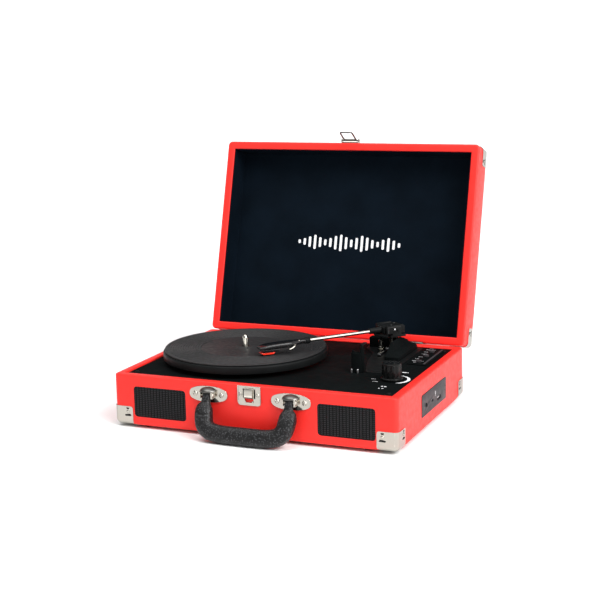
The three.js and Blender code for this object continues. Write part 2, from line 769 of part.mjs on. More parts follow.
function catchPlate() {
  const face = -HALF_D - GAP;
  const front = face - CATCH.thickness;
  const height = CATCH.top - CATCH.bottom;
  const middle = (CATCH.top + CATCH.bottom) / 2;
  const outline = roundedRectangle(CATCH.width, height, 3);
  const plate = standing(outline, front, face).translate(0, 0, middle);
  const tongue = sideways(
    polygon([[front + 0.6, 49.6], [front - 1.2, 49], [front - 3, 49.4], [front - 3, 60], [front, 62]]),
    -5.2, 5.2,
  );
  const slot = block(-5.4, 5.4, front - 1, face + 1, 44.6, 48.6);
  return cut(join(plate, tongue), slot);
}

// ---------------------------------------------------------------- lid

function lidShell() {
  return cut(
    raised(caseOutline(), LID_RIM_Z, LID_TOP_Z),
    block(-INNER_X, INNER_X, -INNER_Y, INNER_Y, LID_RIM_Z - 1, LID_TOP_Z - LID_BOARD),
    hingePocket(-1),
    hingePocket(1),
  );
}

function lidLining() {
  const [x, y] = [INNER_X - GAP, INNER_Y - GAP];
  const top = LID_TOP_Z - LID_BOARD - GAP;
  const bottom = LID_RIM_Z + 1.6;
  const skin = 1;
  return cut(
    block(-x, x, -y, y, bottom, top),
    block(-x + skin, x - skin, -y + skin, y - skin, bottom - 1, top - skin),
  );
}

function latchPlate() {
  const face = -HALF_D - GAP;
  const front = face - CATCH.thickness;
  const outline = roundedRectangle(25, 16.4, 2.4);
  const plate = standing(outline, front, face).translate(0, 0, 74.8);
  const earAt = (side) => {
    const [x0, x1] = side < 0 ? [-12.4, -10.8] : [10.8, 12.4];
    return block(x0, x1, HASP.y - 1.9, front + 0.5, HASP.z - 1.5, HASP.z + 4);
  };
  const bulge = sideways(
    polygon([[front + 0.5, 71], [front - 2.4, 72], [front - 2.4, 79], [front + 0.5, 81]]),
    -7, 7,
  );
  const bore = rodAlongX(1.25, -14, 14).translate(0, HASP.y, HASP.z);
  return cut(join(plate, earAt(-1), earAt(1), bulge), bore);
}

// A flat loop drawn from its axle, hanging along -Z.
function latchHasp() {
  const { reach, half, bar } = HASP;
  const axle = rodAlongX(0.9, -12.6, 12.6);
  const arm = (side) => block(
    Math.min(side * (half - bar), side * half), Math.max(side * (half - bar), side * half),
    -0.8, 0.8, -reach, 0,
  );
  const crossbar = block(-half, half, -0.8, 0.8, -reach, -reach + bar);
  const bridge = block(-half, half, -0.8, 0.8, -3, -0.2);
  return join(axle, arm(-1), arm(1), crossbar, bridge);
}

function addLid() {
  const hinge = frameAt(caseFrame, 0, HINGE.y, HINGE.z);
  hinge.rotation.x = -radians(LID_OPEN_DEG);
  const lid = frameAt(hinge, 0, -HINGE.y, -HINGE.z);
  addPart('lid_shell', lidShell(), RED, lid);
  addPart('lid_lining', lidLining(), LINING_BLACK, lid);
  for (const [place, sideX, sideY] of CORNERS) {
    const capBottom = LID_TOP_Z - CORNER.height;
    const cap = cornerCap(sideX, sideY, LID_RIM_Z, LID_TOP_Z, capBottom, LID_TOP_Z + 3);
    addPart(`lid_corner_${place}`, cap, CHROME, lid);
  }
  addPart('latch_plate', latchPlate(), CHROME, lid);
  const hasp = addPart('latch_hasp', latchHasp(), CHROME, lid);
  hasp.position.set(0, HASP.y, HASP.z);
  hasp.rotation.x = -radians(HASP.lift_deg);
  addLidHinges(lid);
}

// ---------------------------------------------------------------- hinges

function hingeBarrel(x0, x1) {
  return rodAlongX(HINGE.barrel, x0, x1).translate(0, HINGE.y, HINGE.z);
}

// The fixed leaf has the two outer knuckles and holds the pin.
function baseLeaf() {
  const face = HALF_D + GAP;
  const back = face + LEAF.thickness;
  const top = HINGE.z - LEAF.clear;
  const outer = (side) => {
    const [x0, x1] = side < 0 ? [-LEAF.half, -LEAF.knuckle - 0.5] : [LEAF.knuckle + 0.5, LEAF.half];
    return join(block(x0, x1, face, back, top - 1, HINGE.z), hingeBarrel(x0, x1));
  };
  const plate = block(-LEAF.half, LEAF.half, face, back, top - LEAF.height, top);
  const pin = rodAlongX(HINGE.pin, -LEAF.half, LEAF.half).translate(0, HINGE.y, HINGE.z);
  return join(plate, outer(-1), outer(1), pin);
}

// The lid's leaf has the middle knuckle, bored for the pin.
function lidLeaf() {
  const face = HALF_D + GAP;
  const back = face + LEAF.thickness;
  const bottom = HINGE.z + LEAF.clear;
  const plate = block(-LEAF.half, LEAF.half, face, back, bottom, bottom + LEAF.height);
  const neck = block(-LEAF.knuckle, LEAF.knuckle, face, back, HINGE.z, bottom + 1);
  const bore = rodAlongX(HINGE.pin + 0.35, -20, 20).translate(0, HINGE.y, HINGE.z);
  return cut(join(plate, neck, hingeBarrel(-LEAF.knuckle, LEAF.knuckle)), bore);
}

function addLidHinges(lid) {
  for (const [side, sign] of SIDES) {
    addPart(`hinge_base_leaf_${side}`, baseLeaf(), CHROME).position.x = sign * HINGE.x;
    addPart(`hinge_lid_leaf_${side}`, lidLeaf(), CHROME, lid).position.x = sign * HINGE.x;
  }
}

// ---------------------------------------------------------------- put together

addBaseBox();
addSpeakersAndSockets();
addDeckAndDrive();
addTonearm();
addRestAndCue();
addControls();
addHandle();
addPart('catch_plate', catchPlate(), CHROME);
addLid();

export default root;
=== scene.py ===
"""A suitcase record player with its lid open: a red leatherette case, a black deck with a
tonearm and controls, two cloth speaker grilles, nickel corners and a moulded handle.

Shapes are drawn in millimetres. Case coordinates start at the middle of the base box, at
table level: +X to the right of a person facing the front, +Y to the back, +Z up.
"""

import math

import bmesh
import bpy
import numpy as np
from mathutils import Matrix, Vector


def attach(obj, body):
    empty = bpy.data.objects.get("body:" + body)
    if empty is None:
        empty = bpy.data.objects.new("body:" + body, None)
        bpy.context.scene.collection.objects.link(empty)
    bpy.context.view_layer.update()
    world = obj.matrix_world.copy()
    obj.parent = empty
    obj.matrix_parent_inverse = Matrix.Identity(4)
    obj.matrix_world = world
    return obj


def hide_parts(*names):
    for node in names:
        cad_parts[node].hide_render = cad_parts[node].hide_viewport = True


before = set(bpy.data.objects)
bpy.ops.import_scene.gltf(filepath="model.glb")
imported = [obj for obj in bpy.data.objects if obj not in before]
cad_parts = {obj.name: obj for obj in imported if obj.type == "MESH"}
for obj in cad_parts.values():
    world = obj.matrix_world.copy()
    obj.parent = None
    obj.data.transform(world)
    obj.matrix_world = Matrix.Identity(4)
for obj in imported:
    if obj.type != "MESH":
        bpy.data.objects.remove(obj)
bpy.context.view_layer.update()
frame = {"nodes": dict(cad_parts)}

# -------------------- sizes, in millimetres

CASE_SHIFT_Y = -40.0
HALF_W = 175.0
HALF_D = 127.5
CORNER_RADIUS = 5.6
WALL = 10.0
GAP = 0.3
FOOT_HEIGHT = 4.0
RIM_Z = 64.0
DECK_TOP = 62.0
LID_RIM_Z = 64.4
LID_TOP_Z = 104.0
LID_CEILING_Z = 99.0
LINING_FACE_Z = 97.7

HINGE_X = 105.0
HINGE_Y = 128.0
HINGE_Z = 64.2
LID_OPEN_DEG = 106
ARM_X = 96.0
ARM_Y = 88.0
ARM_Z = 91.0
ARM_DIRECTION_DEG = 231.6
HEAD_START = 124.0
HEAD_OFFSET_DEG = -5.0
HANDLE_X = 51.0
HANDLE_Y = -133.2
HANDLE_Z = 50.0
HANDLE_LEAN_DEG = 22.0
HASP_Y = -131.2
HASP_Z = 68.2
HASP_LIFT_DEG = 18.0
KNOB_X = 140.5
KNOB_Y = -46.0
KNOB_TOP = 82.0
SPINDLE_X = -60.0
SPINDLE_Y = -8.0
GRILLE_X = 115.5
GRILLE_Z = 32.3
CLOTH_Y = -HALF_D + 1.2
PANEL_PROUD = 0.6
SIDE_PANEL_Y = 4.0
SIDE_PANEL_Z = 32.0
REAR_PANEL_X = -95.0
REAR_PANEL_Z = 30.0
CATCH_Z = 52.3
LATCH_Z = 74.8
LEAF_FACE_Y = HALF_D + 1.4
BASE_LEAF_Z = 54.3
LID_LEAF_Z = 74.1
KNIT = {"column": 3.9, "row": 2.3, "relief": 0.9, "samples": 9}

SIDES = (("left", -1), ("right", 1))
CORNERS = (
    ("front_left", -1, -1),
    ("front_right", 1, -1),
    ("back_left", -1, 1),
    ("back_right", 1, 1),
)

# -------------------- places


def at(x, y, z):
    return Matrix.Translation((x, y, z))


def turned(degrees, axis):
    return Matrix.Rotation(math.radians(degrees), 4, axis)


CASE = Matrix.Scale(0.001, 4) @ at(0, CASE_SHIFT_Y, 0)
LID = CASE @ at(0, HINGE_Y, HINGE_Z) @ turned(-LID_OPEN_DEG, "X") @ at(0, -HINGE_Y, -HINGE_Z)
ARM = CASE @ at(ARM_X, ARM_Y, 0) @ turned(ARM_DIRECTION_DEG, "Z")
HEAD = ARM @ at(HEAD_START, 0, 0) @ turned(HEAD_OFFSET_DEG, "Z")

# A piece drawn facing +Z, with +Y up, is turned by one of these to face outward.
FRONT = turned(90, "X")
RIGHT = turned(90, "Z") @ FRONT
BACK = turned(180, "Z") @ FRONT
CASE_FRONT = at(0, -HALF_D, 0) @ FRONT

# -------------------- outlines


def softened(points, radius, steps, closed=True):
    """The same outline with its corners rounded off."""
    result = []
    count = len(points)
    for i, point in enumerate(points):
        if not closed and i in (0, count - 1):
            result.append(tuple(point))
            continue
        corner = Vector(point)
        before = Vector(points[i - 1]) - corner
        after = Vector(points[(i + 1) % count]) - corner
        cut = min(radius, 0.45 * before.length, 0.45 * after.length)
        start = corner + before.normalized() * cut
        end = corner + after.normalized() * cut
        for k in range(steps + 1):
            t = k / steps
            result.append(tuple(start * (1 - t) ** 2 + corner * 2 * t * (1 - t) + end * t**2))
    return result


def rounded(width, height, radius):
    """A rectangle with rounded corners, centred on the origin."""
    x, y = width / 2, height / 2
    return softened([(-x, -y), (x, -y), (x, y), (-x, y)], radius, 5)


def circle(radius, steps):
    angles = [2 * math.pi * i / steps for i in range(steps)]
    return [(radius * math.cos(a), radius * math.sin(a)) for a in angles]


def squircle(width, height, power, steps):
    """A rounded section between an ellipse and a rectangle."""
    points = []
    for i in range(steps):
        c = math.cos(2 * math.pi * i / steps)
        s = math.sin(2 * math.pi * i / steps)
        x = math.copysign(abs(c) ** (2 / power), c) * width / 2
        y = math.copysign(abs(s) ** (2 / power), s) * height / 2
        points.append((x, y))
    return points


def smooth_path(points, steps):
    """A Catmull-Rom curve through points of any number of coordinates."""
    rows = [np.array(p, float) for p in points]
    rows = [2 * rows[0] - rows[1], *rows, 2 * rows[-1] - rows[-2]]
    result = []
    for a, b, c, d in zip(rows, rows[1:], rows[2:], rows[3:]):
        for k in range(steps):
            t = k / steps
            result.append(
                0.5 * (2 * b + (c - a) * t + (2 * a - 5 * b + 4 * c - d) * t**2
                       + (3 * b - a - 3 * c + d) * t**3)
            )
    return [*result, rows[-2]]


# -------------------- shapes: (points, faces)


def prism(outline, low, high, along_x=False):
    """An outline of (x, y) points filled along Z, or of (y, z) points filled along X."""
    n = len(outline)
    points = []
    for level in (low, high):
        points += [(level, a, b) if along_x else (a, b, level) for a, b in outline]
    sides = [(i, (i + 1) % n, n + (i + 1) % n, n + i) for i in range(n)]
    return points, [tuple(range(n)), tuple(range(n, 2 * n)), *sides]


def slab(x0, x1, y0, y1, z0, z1):
    return prism([(x0, y0), (x1, y0), (x1, y1), (x0, y1)], z0, z1)


def side_slabs(x, half, *limits):
    """Two slabs centred at -x and +x, each twice half wide. limits are y0, y1, z0 and z1."""
    return [slab(side * x - half, side * x + half, *limits) for _, side in SIDES]


def loft(rings, wrap=False):
    """Rings of equal length joined in order, with capped ends or with the last on the first."""
    n = len(rings[0])
    points = [tuple(p) for ring in rings for p in ring]
    faces = []
    pairs = len(rings) if wrap else len(rings) - 1
    for k in range(pairs):
        a = k * n
        b = ((k + 1) % len(rings)) * n
        faces += [(a + i, a + (i + 1) % n, b + (i + 1) % n, b + i) for i in range(n)]
    if not wrap:
        faces += [tuple(range(n)), tuple(range(len(points) - n, len(points)))]
    return points, faces


def lathe(profile, segments):
    """A line of (radius, height) points turned about the Z axis."""
    rings = []
    for radius, height in profile:
        rings.append([(x, y, height) for x, y in circle(max(radius, 0.0), segments)])
    points, faces = loft(rings)
    return points, faces[:-2]


def lathe_ring(profile, segments):
    """The same for a closed profile round a bore."""
    return lathe([*profile, profile[0]], segments)


def rod_along_x(radius, start, end, z=0.0, segments=20):
    rod = lathe([(0, start), (radius, start), (radius, end), (0, end)], segments)
    return moved(rod, at(0, 0, z) @ turned(90, "Y"))


def sweep(path, sections, up):
    """Sections of (side, up) points carried along a path."""
    rings = []
    path = [Vector(p) for p in path]
    up = Vector(up)
    for k, point in enumerate(path):
        tangent = path[min(k + 1, len(path) - 1)] - path[max(k - 1, 0)]
        side = tangent.cross(up).normalized()
        up = side.cross(tangent).normalized()
        rings.append([point + side * a + up * b for a, b in sections[k]])
    return loft(rings)


def merged(*shapes):
    points, faces = [], []
    for more_points, more_faces in shapes:
        start = len(points)
        points += more_points
        faces += [tuple(start + i for i in face) for face in more_faces]
    return points, faces


def moved(shape, place):
    return [tuple(place @ Vector(p)) for p in shape[0]], shape[1]


def copies(shape, places):
    return merged(*[moved(shape, place) for place in places])


def shell(outer, inner, faces):
    """A skin between two sets of matching points."""
    used = {}
    for face in faces:
        for a, b in zip(face, face[1:] + face[:1]):
            used.setdefault((min(a, b), max(a, b)), []).append((a, b))
    n = len(outer)
    rim = [uses[0] for uses in used.values() if len(uses) == 1]
    sides = [(b, a, n + a, n + b) for a, b in rim]
    back = [tuple(n + i for i in reversed(face)) for face in faces]
    return [*outer, *inner], [*faces, *back, *sides]


def new_object(name, data):
    obj = bpy.data.objects.new(name, data)
    bpy.context.scene.collection.objects.link(obj)
    return obj


def grid_faces(rows, columns):
    """The squares of a grid whose points run along its rows."""
    faces = []
    for j in range(rows):
        for i in range(columns):
            a = j * (columns + 1) + i
            faces.append((a, a + 1, a + columns + 2, a + columns + 1))
    return faces


def to_mesh(name, shape, place=Matrix.Identity(4), weld=1e-6):
    mesh = bpy.data.meshes.new(name)
    mesh.from_pydata([place @ Vector(p) for p in shape[0]], [], shape[1])
    work = bmesh.new()
    work.from_mesh(mesh)
    bmesh.ops.remove_doubles(work, verts=work.verts, dist=weld)
    bmesh.ops.dissolve_degenerate(work, edges=work.edges, dist=weld)
    bmesh.ops.recalc_face_normals(work, faces=work.faces)
    work.to_mesh(mesh)
    work.free()
    return mesh


def carved(shape, *tools):
    """The shape with each tool's shape cut out of it."""
    body = new_object("carved", to_mesh("carved", shape, weld=1e-3))
    for tool in tools:
        cutter = new_object("cutter", to_mesh("cutter", tool, weld=1e-3))
        cut = body.modifiers.new("cut", "BOOLEAN")
        cut.operation = "DIFFERENCE"
        cut.solver = "EXACT"
        cut.object = cutter
        graph = bpy.context.evaluated_depsgraph_get()
        result = bpy.data.meshes.new_from_object(body.evaluated_get(graph))
        body.modifiers.clear()
        body.data = result
        bpy.data.objects.remove(cutter)
    points = [tuple(v.co) for v in body.data.vertices]
    faces = [tuple(f.vertices) for f in body.data.polygons]
    bpy.data.objects.remove(body)
    return points, faces


# -------------------- material nodes


def fill_ramp(ramp, stops):
    """Gives a colour ramp node its (position, colour) stops."""
    elements = ramp.color_ramp.elements
    while len(elements) < len(stops):
        elements.new(0.5)
    for element, (position, colour) in zip(elements, stops):
        element.position = position
        element.color = (*colour, 1)


class Finish:
    """A procedural material on the Principled shader, in the piece's own coordinates."""

    def __init__(self, name, colour, roughness, **sockets):
        self.material = bpy.data.materials.new(name)
        self.material.use_nodes = True
        self.tree = self.material.node_tree
        self.shader = self.tree.nodes["Principled BSDF"]
        self.place = self.tree.nodes.new("ShaderNodeTexCoord").outputs["Object"]
        self.shader.inputs["Base Color"].default_value = (*colour, 1)
        self.shader.inputs["Roughness"].default_value = roughness
        self.colour = colour
        self.normal = None
        for key, value in sockets.items():
            self.shader.inputs[key.replace("_", " ")].default_value = value

    def node(self, kind, **settings):
        made = self.tree.nodes.new(kind)
        for key, value in settings.items():
            setattr(made, key, value)
        return made

    def link(self, output, socket):
        self.tree.links.new(output, socket)

    def noise(self, scale, detail, stretch=(1, 1, 1)):
        """Cloudy variation. The scale is in features to the metre."""
        made = self.node("ShaderNodeTexNoise")
        made.inputs["Scale"].default_value = scale
        made.inputs["Detail"].default_value = detail
        self.link(self.stretched(stretch), made.inputs["Vector"])
        return made.outputs["Fac"]

    def cells(self, scale, smoothness=0.4):
        """Rounded grains with creases between them."""
        made = self.node("ShaderNodeTexVoronoi", feature="SMOOTH_F1")
        made.inputs["Scale"].default_value = scale
        made.inputs["Smoothness"].default_value = smoothness
        self.link(self.place, made.inputs["Vector"])
        return made.outputs["Distance"]

    def stretched(self, stretch):
        if stretch == (1, 1, 1):
            return self.place
        made = self.node("ShaderNodeMapping")
        made.inputs["Scale"].default_value = stretch
        self.link(self.place, made.inputs["Vector"])
        return made.outputs["Vector"]

    def ranged(self, value, low, high, start=0.3, end=0.7):
        made = self.node("ShaderNodeMapRange")
        made.inputs["From Min"].default_value = start
        made.inputs["From Max"].default_value = end
        made.inputs["To Min"].default_value = low
        made.inputs["To Max"].default_value = high
        self.link(value, made.inputs["Value"])
        return made.outputs["Result"]

    def colours(self, value, *stops):
        """The base colour follows a value through (position, colour) stops."""
        made = self.node("ShaderNodeValToRGB")
        fill_ramp(made, stops)
        self.link(value, made.inputs["Fac"])
        self.link(made.outputs["Color"], self.shader.inputs["Base Color"])

    def mottle(self, scale, detail, dark, light, places=(0.3, 0.7)):
        """Clouds between a darker and a lighter shade of the base colour."""
        shades = (shaded(self.colour, dark), shaded(self.colour, light))
        self.colours(self.noise(scale, detail), *zip(places, shades))

    def roughness(self, value, low, high):
        self.link(self.ranged(value, low, high), self.shader.inputs["Roughness"])

    def haze(self, scale, detail, low, high, stretch=(1, 1, 1)):
        """Roughness that drifts from place to place."""
        self.roughness(self.noise(scale, detail, stretch), low, high)

    def bump(self, height, depth_mm, strength, invert=False):
        """A relief, added to any earlier one."""
        made = self.node("ShaderNodeBump", invert=invert)
        made.inputs["Strength"].default_value = strength
        made.inputs["Distance"].default_value = depth_mm * 0.001
        self.link(height, made.inputs["Height"])
        if self.normal is not None:
            self.link(self.normal, made.inputs["Normal"])
        self.normal = made.outputs["Normal"]
        self.link(self.normal, self.shader.inputs["Normal"])

    def grain(self, scale, detail, depth_mm, strength, stretch=(1, 1, 1)):
        """A fine uneven relief."""
        self.bump(self.noise(scale, detail, stretch), depth_mm, strength)

    def polish(self, low, high):
        """Faint hazing, fine scratches and a slow ripple, as on plated metal."""
        self.haze(120, 6, low, high, (1, 1, 5))
        self.grain(110, 2, 0.06, 0.35)
        self.grain(1800, 3, 0.004, 0.4, (1, 1, 8))


def shaded(colour, factor):
    return tuple(min(1.0, c * factor) for c in colour)


def leatherette():
    finish = Finish("red_leatherette", (0.80, 0.021, 0.015), 0.45, Specular_IOR_Level=0.3)
    finish.mottle(14, 4, 0.9, 1.08)
    finish.haze(160, 3, 0.38, 0.52)
    finish.bump(finish.cells(780), 0.16, 0.55, invert=True)
    finish.grain(2600, 2, 0.05, 0.4)
    return finish.material


def lid_lining():
    finish = Finish("lid_lining", (0.0022, 0.0048, 0.0085), 0.75, Specular_IOR_Level=0.03)
    finish.mottle(22, 5, 0.8, 1.35, (0.3, 0.75))
    finish.haze(300, 2, 0.66, 0.85)
    finish.grain(1500, 3, 0.05, 0.5, (1, 0.25, 1))
    return finish.material


def moulded(name, colour, low, high, grain_mm, specular=0.5):
    """Plastic with a fine spark-eroded grain and slightly uneven gloss."""
    finish = Finish(name, colour, low, Specular_IOR_Level=specular)
    finish.mottle(40, 4, 0.85, 1.15)
    finish.haze(90, 5, low, high)
    finish.grain(3200, 2, grain_mm, 0.5)
    return finish.material


def plated(name, colour, low, high):
    finish = Finish(name, colour, low, Metallic=1.0)
    finish.mottle(60, 4, 0.9, 1.05, (0.35, 0.7))
    finish.polish(low, high)
    return finish.material


# How bright the nickel is painted as it turns from facing the eye (0) to edge on (1): painted
# reflections of light and dark boards.
PRESSED_REFLECTION_TONES = ((0.0, 1.7), (0.08, 1.7), (0.11, 0.76), (0.2, 0.8), (0.25, 1.4), (0.33, 0.34),
                 (0.52, 0.5), (0.64, 1.4), (0.8, 0.3), (0.97, 1.1))
CAP_REFLECTION_TONES = ((0.0, 1.6), (0.075, 1.6), (0.1, 0.8), (0.3, 0.84), (0.45, 0.76), (0.7, 0.66),
             (1.0, 0.5))


def nickel_with_painted_reflections(name, tones):
    """Bright plate with painted reflections: its colour swings with the angle, as if it reflected
    light and dark boards.
    """
    nickel = (0.56, 0.53, 0.47)
    finish = Finish(name, nickel, 0.1, Metallic=1.0)
    angle = finish.node("ShaderNodeLayerWeight")
    swing = finish.node("ShaderNodeMath", operation="MULTIPLY_ADD")
    swing.inputs[1].default_value = 0.10
    finish.link(finish.noise(70, 4), swing.inputs[0])
    finish.link(angle.outputs["Facing"], swing.inputs[2])
    finish.colours(swing.outputs[0], *[(place, shaded(nickel, tone)) for place, tone in tones])
    finish.polish(0.07, 0.16)
    return finish.material


def handle_black():
    black = (0.012, 0.012, 0.013)
    finish = Finish("handle_black", black, 0.4, Specular_IOR_Level=0.3)
    grains = finish.cells(530, 0.15)
    # The tops of the pebbles are painted lighter, a painted highlight, and the creases between them
    # darker, painted shade.
    finish.colours(grains, (0.1, shaded(black, 4.6)), (0.45, shaded(black, 0.35)))
    finish.haze(240, 3, 0.32, 0.46)
    finish.bump(grains, 0.5, 0.9, invert=True)
    finish.grain(2200, 2, 0.04, 0.5)
    return finish.material


def grille_mesh():
    """Black yarn, painted greyer where it stands out from the cloth and darker in the hollows:
    painted highlight and shade.
    """
    finish = Finish("grille_mesh", (0.02, 0.02, 0.02), 0.7, Specular_IOR_Level=0.1)
    split = finish.node("ShaderNodeSeparateXYZ")
    finish.link(finish.place, split.inputs["Vector"])
    valley = (CLOTH_Y + CASE_SHIFT_Y) * 0.001
    top = valley - KNIT["relief"] * 0.001
    # Painted light: the yarn's colour follows the knit's height, lighter on top and darker in the
    # hollows.
    lift = finish.ranged(split.outputs["Y"], 0, 1, valley, top)
    finish.colours(lift, (0.45, (0.002, 0.002, 0.002)), (0.95, (0.075, 0.075, 0.08)))
    fibres = finish.noise(2400, 3, (1, 1, 0.3))
    finish.roughness(fibres, 0.6, 0.85)
    finish.bump(fibres, 0.06, 0.7)
    return finish.material


def rubber():
    finish = Finish("rubber", (0.008, 0.008, 0.0085), 0.6, Specular_IOR_Level=0.4)
    finish.mottle(30, 4, 0.8, 1.4)
    finish.haze(200, 4, 0.45, 0.66)
    finish.grain(2000, 3, 0.03, 0.5)
    return finish.material


def stylus_red():
    red = (0.95, 0.035, 0.01)
    scatter = {"Subsurface_Weight": 0.25, "Subsurface_Radius": (0.002, 0.0006, 0.0004)}
    finish = Finish("stylus_red", red, 0.28, Coat_Weight=0.3, **scatter)
    finish.mottle(300, 2, 0.9, 1.0)
    finish.grain(1500, 2, 0.01, 0.4)
    return finish.material


def circuit_green():
    green = (0.012, 0.09, 0.035)
    finish = Finish("circuit_green", green, 0.35)
    tracks = finish.node("ShaderNodeTexBrick", offset=0.5)
    tracks.inputs["Scale"].default_value = 60
    tracks.inputs["Mortar Size"].default_value = 0.035
    tracks.inputs["Color1"].default_value = (*green, 1)
    tracks.inputs["Color2"].default_value = (*shaded(green, 0.8), 1)
    tracks.inputs["Mortar"].default_value = (*shaded(green, 2.2), 1)
    finish.link(finish.place, tracks.inputs["Vector"])
    finish.link(tracks.outputs["Color"], finish.shader.inputs["Base Color"])
    finish.bump(tracks.outputs["Fac"], 0.03, 0.5)
    return finish.material


def fibreboard():
    brown = (0.16, 0.095, 0.048)
    finish = Finish("fibreboard", brown, 0.85, Specular_IOR_Level=0.2)
    fibres = finish.noise(420, 6, (1, 0.35, 1))
    finish.colours(fibres, (0.3, shaded(brown, 0.6)), (0.7, shaded(brown, 1.3)))
    finish.bump(fibres, 0.12, 0.6)
    return finish.material


def print_ink(name, colour):
    finish = Finish(name, colour, 0.5, Specular_IOR_Level=0.3)
    finish.mottle(700, 3, 0.93, 1.0, (0.3, 0.6))
    finish.grain(2400, 2, 0.01, 0.4)
    return finish.material


# The first fourteen names are the record's material slots. The next five are versions of them.
FINISHES = {
    "red_leatherette": leatherette(),
    "lid_lining": lid_lining(),
    "black_plastic": moulded("black_plastic", (0.0045, 0.0052, 0.0054), 0.40, 0.55, 0.03, 0.10),
    "gloss_black": moulded("gloss_black", (0.006, 0.006, 0.0065), 0.10, 0.20, 0.004),
    "grey_plastic": moulded("grey_plastic", (0.036, 0.032, 0.035), 0.42, 0.56, 0.03, 0.14),
    "chrome": nickel_with_painted_reflections("chrome", PRESSED_REFLECTION_TONES),
    "steel": plated("steel", (0.52, 0.52, 0.53), 0.28, 0.42),
    "brass": plated("brass", (0.62, 0.43, 0.17), 0.22, 0.34),
    "rubber": rubber(),
    "handle_black": handle_black(),
    "grille_mesh": grille_mesh(),
    "stylus_red": stylus_red(),
    "circuit_green": circuit_green(),
    "fibreboard": fibreboard(),
    "deck_black": moulded("deck_black", (0.0040, 0.0050, 0.0052), 0.55, 0.7, 0.03, 0.01),
    "cover_black": moulded("cover_black", (0.0035, 0.0042, 0.0044), 0.5, 0.65, 0.01, 0.01),
    "knob_black": moulded("knob_black", (0.004, 0.0045, 0.0045), 0.22, 0.32, 0.004, 0.16),
    "cap_nickel": nickel_with_painted_reflections("cap_nickel", CAP_REFLECTION_TONES),
    # The next finish is the nickel painted dark, a shaded copy of it for the hoods, hinge leaves and
    # hasp: painted shade.
    "dull_nickel": plated("dull_nickel", (0.15, 0.145, 0.135), 0.26, 0.4),
    "white_ink": print_ink("white_ink", (0.80, 0.80, 0.82)),
    "grey_ink": print_ink("grey_ink", (0.34, 0.34, 0.35)),
}

# -------------------- pieces


def add_bevel(obj, width_mm, segments=2):
    bevel = obj.modifiers.new("bevel", "BEVEL")
    bevel.width = width_mm * 0.001
    bevel.segments = segments
    bevel.limit_method = "ANGLE"
    bevel.angle_limit = math.radians(40)
    bevel.harden_normals = True


def add(name, shape, place, finish, body, replaces=(), bevel=0.0, segments=2, sharp_deg=40):
    """A finished piece that rides on a body. Its edges are bevelled, or left sharp where steep."""
    obj = new_object(name, to_mesh(name, shape, place))
    obj.data.materials.append(FINISHES[finish])
    obj.data.shade_smooth()
    if bevel:
        add_bevel(obj, bevel, segments)
    else:
        obj.data.set_sharp_from_angle(angle=math.radians(sharp_deg))
    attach(obj, body)
    if replaces:
        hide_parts(*replaces)
    return obj


def screw_head(radius):
    """A domed head with a cross recess, drawn facing +Z from its seat."""
    height = 0.45 * radius
    profile = [(0, -0.4), (radius, -0.4), (radius, 0.12 * radius), (0.86 * radius, 0.30 * radius),
               (0.5 * radius, 0.42 * radius), (0, height)]
    reach = 0.56 * radius
    slot = 0.12 * radius
    floor = 0.1 * radius
    return carved(
        lathe(profile, 24),
        slab(-reach, reach, -slot, slot, floor, height + 1),
        slab(-slot, slot, -reach, reach, floor, height + 1),
    )


SCREW = screw_head(1.0)


def screw(radius, x, y, z, turn_deg):
    return moved(SCREW, at(x, y, z) @ turned(turn_deg, "Z") @ Matrix.Scale(radius, 4))


def rivet(radius, height, x, y, z):
    profile = [(0, -0.3), (radius, -0.3), (radius, 0.25 * height), (0.8 * radius, 0.7 * height),
               (0.4 * radius, 0.95 * height), (0, height)]
    return moved(lathe(profile, 20), at(x, y, z))


# -------------------- case walls

CORNER_STEPS = 8
CORNER_BLEND = (26.0, 21.0, 16.0, 11.0, 5.5)
BALL_RADIUS = 5.6
EDGE_RADIUS = 2.2
RIM_RADIUS = 1.5


def wall_stations():
    """Stations round the case: a point on the inner line, the outward direction, how far the
    station belongs to a corner (0 to 1), and the corner's signs."""
    stations = []
    x = HALF_W - CORNER_RADIUS
    y = HALF_D - CORNER_RADIUS
    turns = ((1, -1, -90), (1, 1, 0), (-1, 1, 90), (-1, -1, 180))
    for sign_x, sign_y, start in turns:
        corner = Vector((sign_x * x, sign_y * y))
        signs = Vector((sign_x, sign_y))

        def direction(degrees):
            return Vector((math.cos(math.radians(degrees)), math.sin(math.radians(degrees))))

        arrive, leave = direction(start), direction(start + 90)
        for distance in CORNER_BLEND:
            share = 1 - distance / CORNER_BLEND[0]
            stations.append((corner - leave * distance, arrive, share, None))
        for k in range(CORNER_STEPS + 1):
            way = direction(start + 90 * k / CORNER_STEPS)
            stations.append((corner, way, 1.0, signs))
        for distance in reversed(CORNER_BLEND):
            share = 1 - distance / CORNER_BLEND[0]
            stations.append((corner - arrive * distance, leave, share, None))
    return stations


def wall_ring(inset, height):
    """A loop round the case. inset and height are functions of a station's corner share."""
    ring = []
    for point, way, share, signs in wall_stations():
        depth = inset(share)
        if signs is not None and depth > CORNER_RADIUS:
            place = point - signs * (depth - CORNER_RADIUS)
        else:
            place = point + way * (CORNER_RADIUS - depth)
        ring.append((place.x, place.y, height(share)))
    return ring


def ball_radius(share):
    return EDGE_RADIUS + (BALL_RADIUS - EDGE_RADIUS) * share


def quarter_turn(steps):
    return [math.pi / 2 * k / steps for k in range(steps + 1)]


def ball_rings(edge_z, sign):
    """The round from the flat end face to the outer wall, full at the corners."""
    rings = []
    for a in quarter_turn(6):
        rings.append(wall_ring(
            lambda share, a=a: ball_radius(share) * (1 - math.sin(a)),
            lambda share, a=a: edge_z + sign * ball_radius(share) * (1 - math.cos(a)),
        ))
    return rings


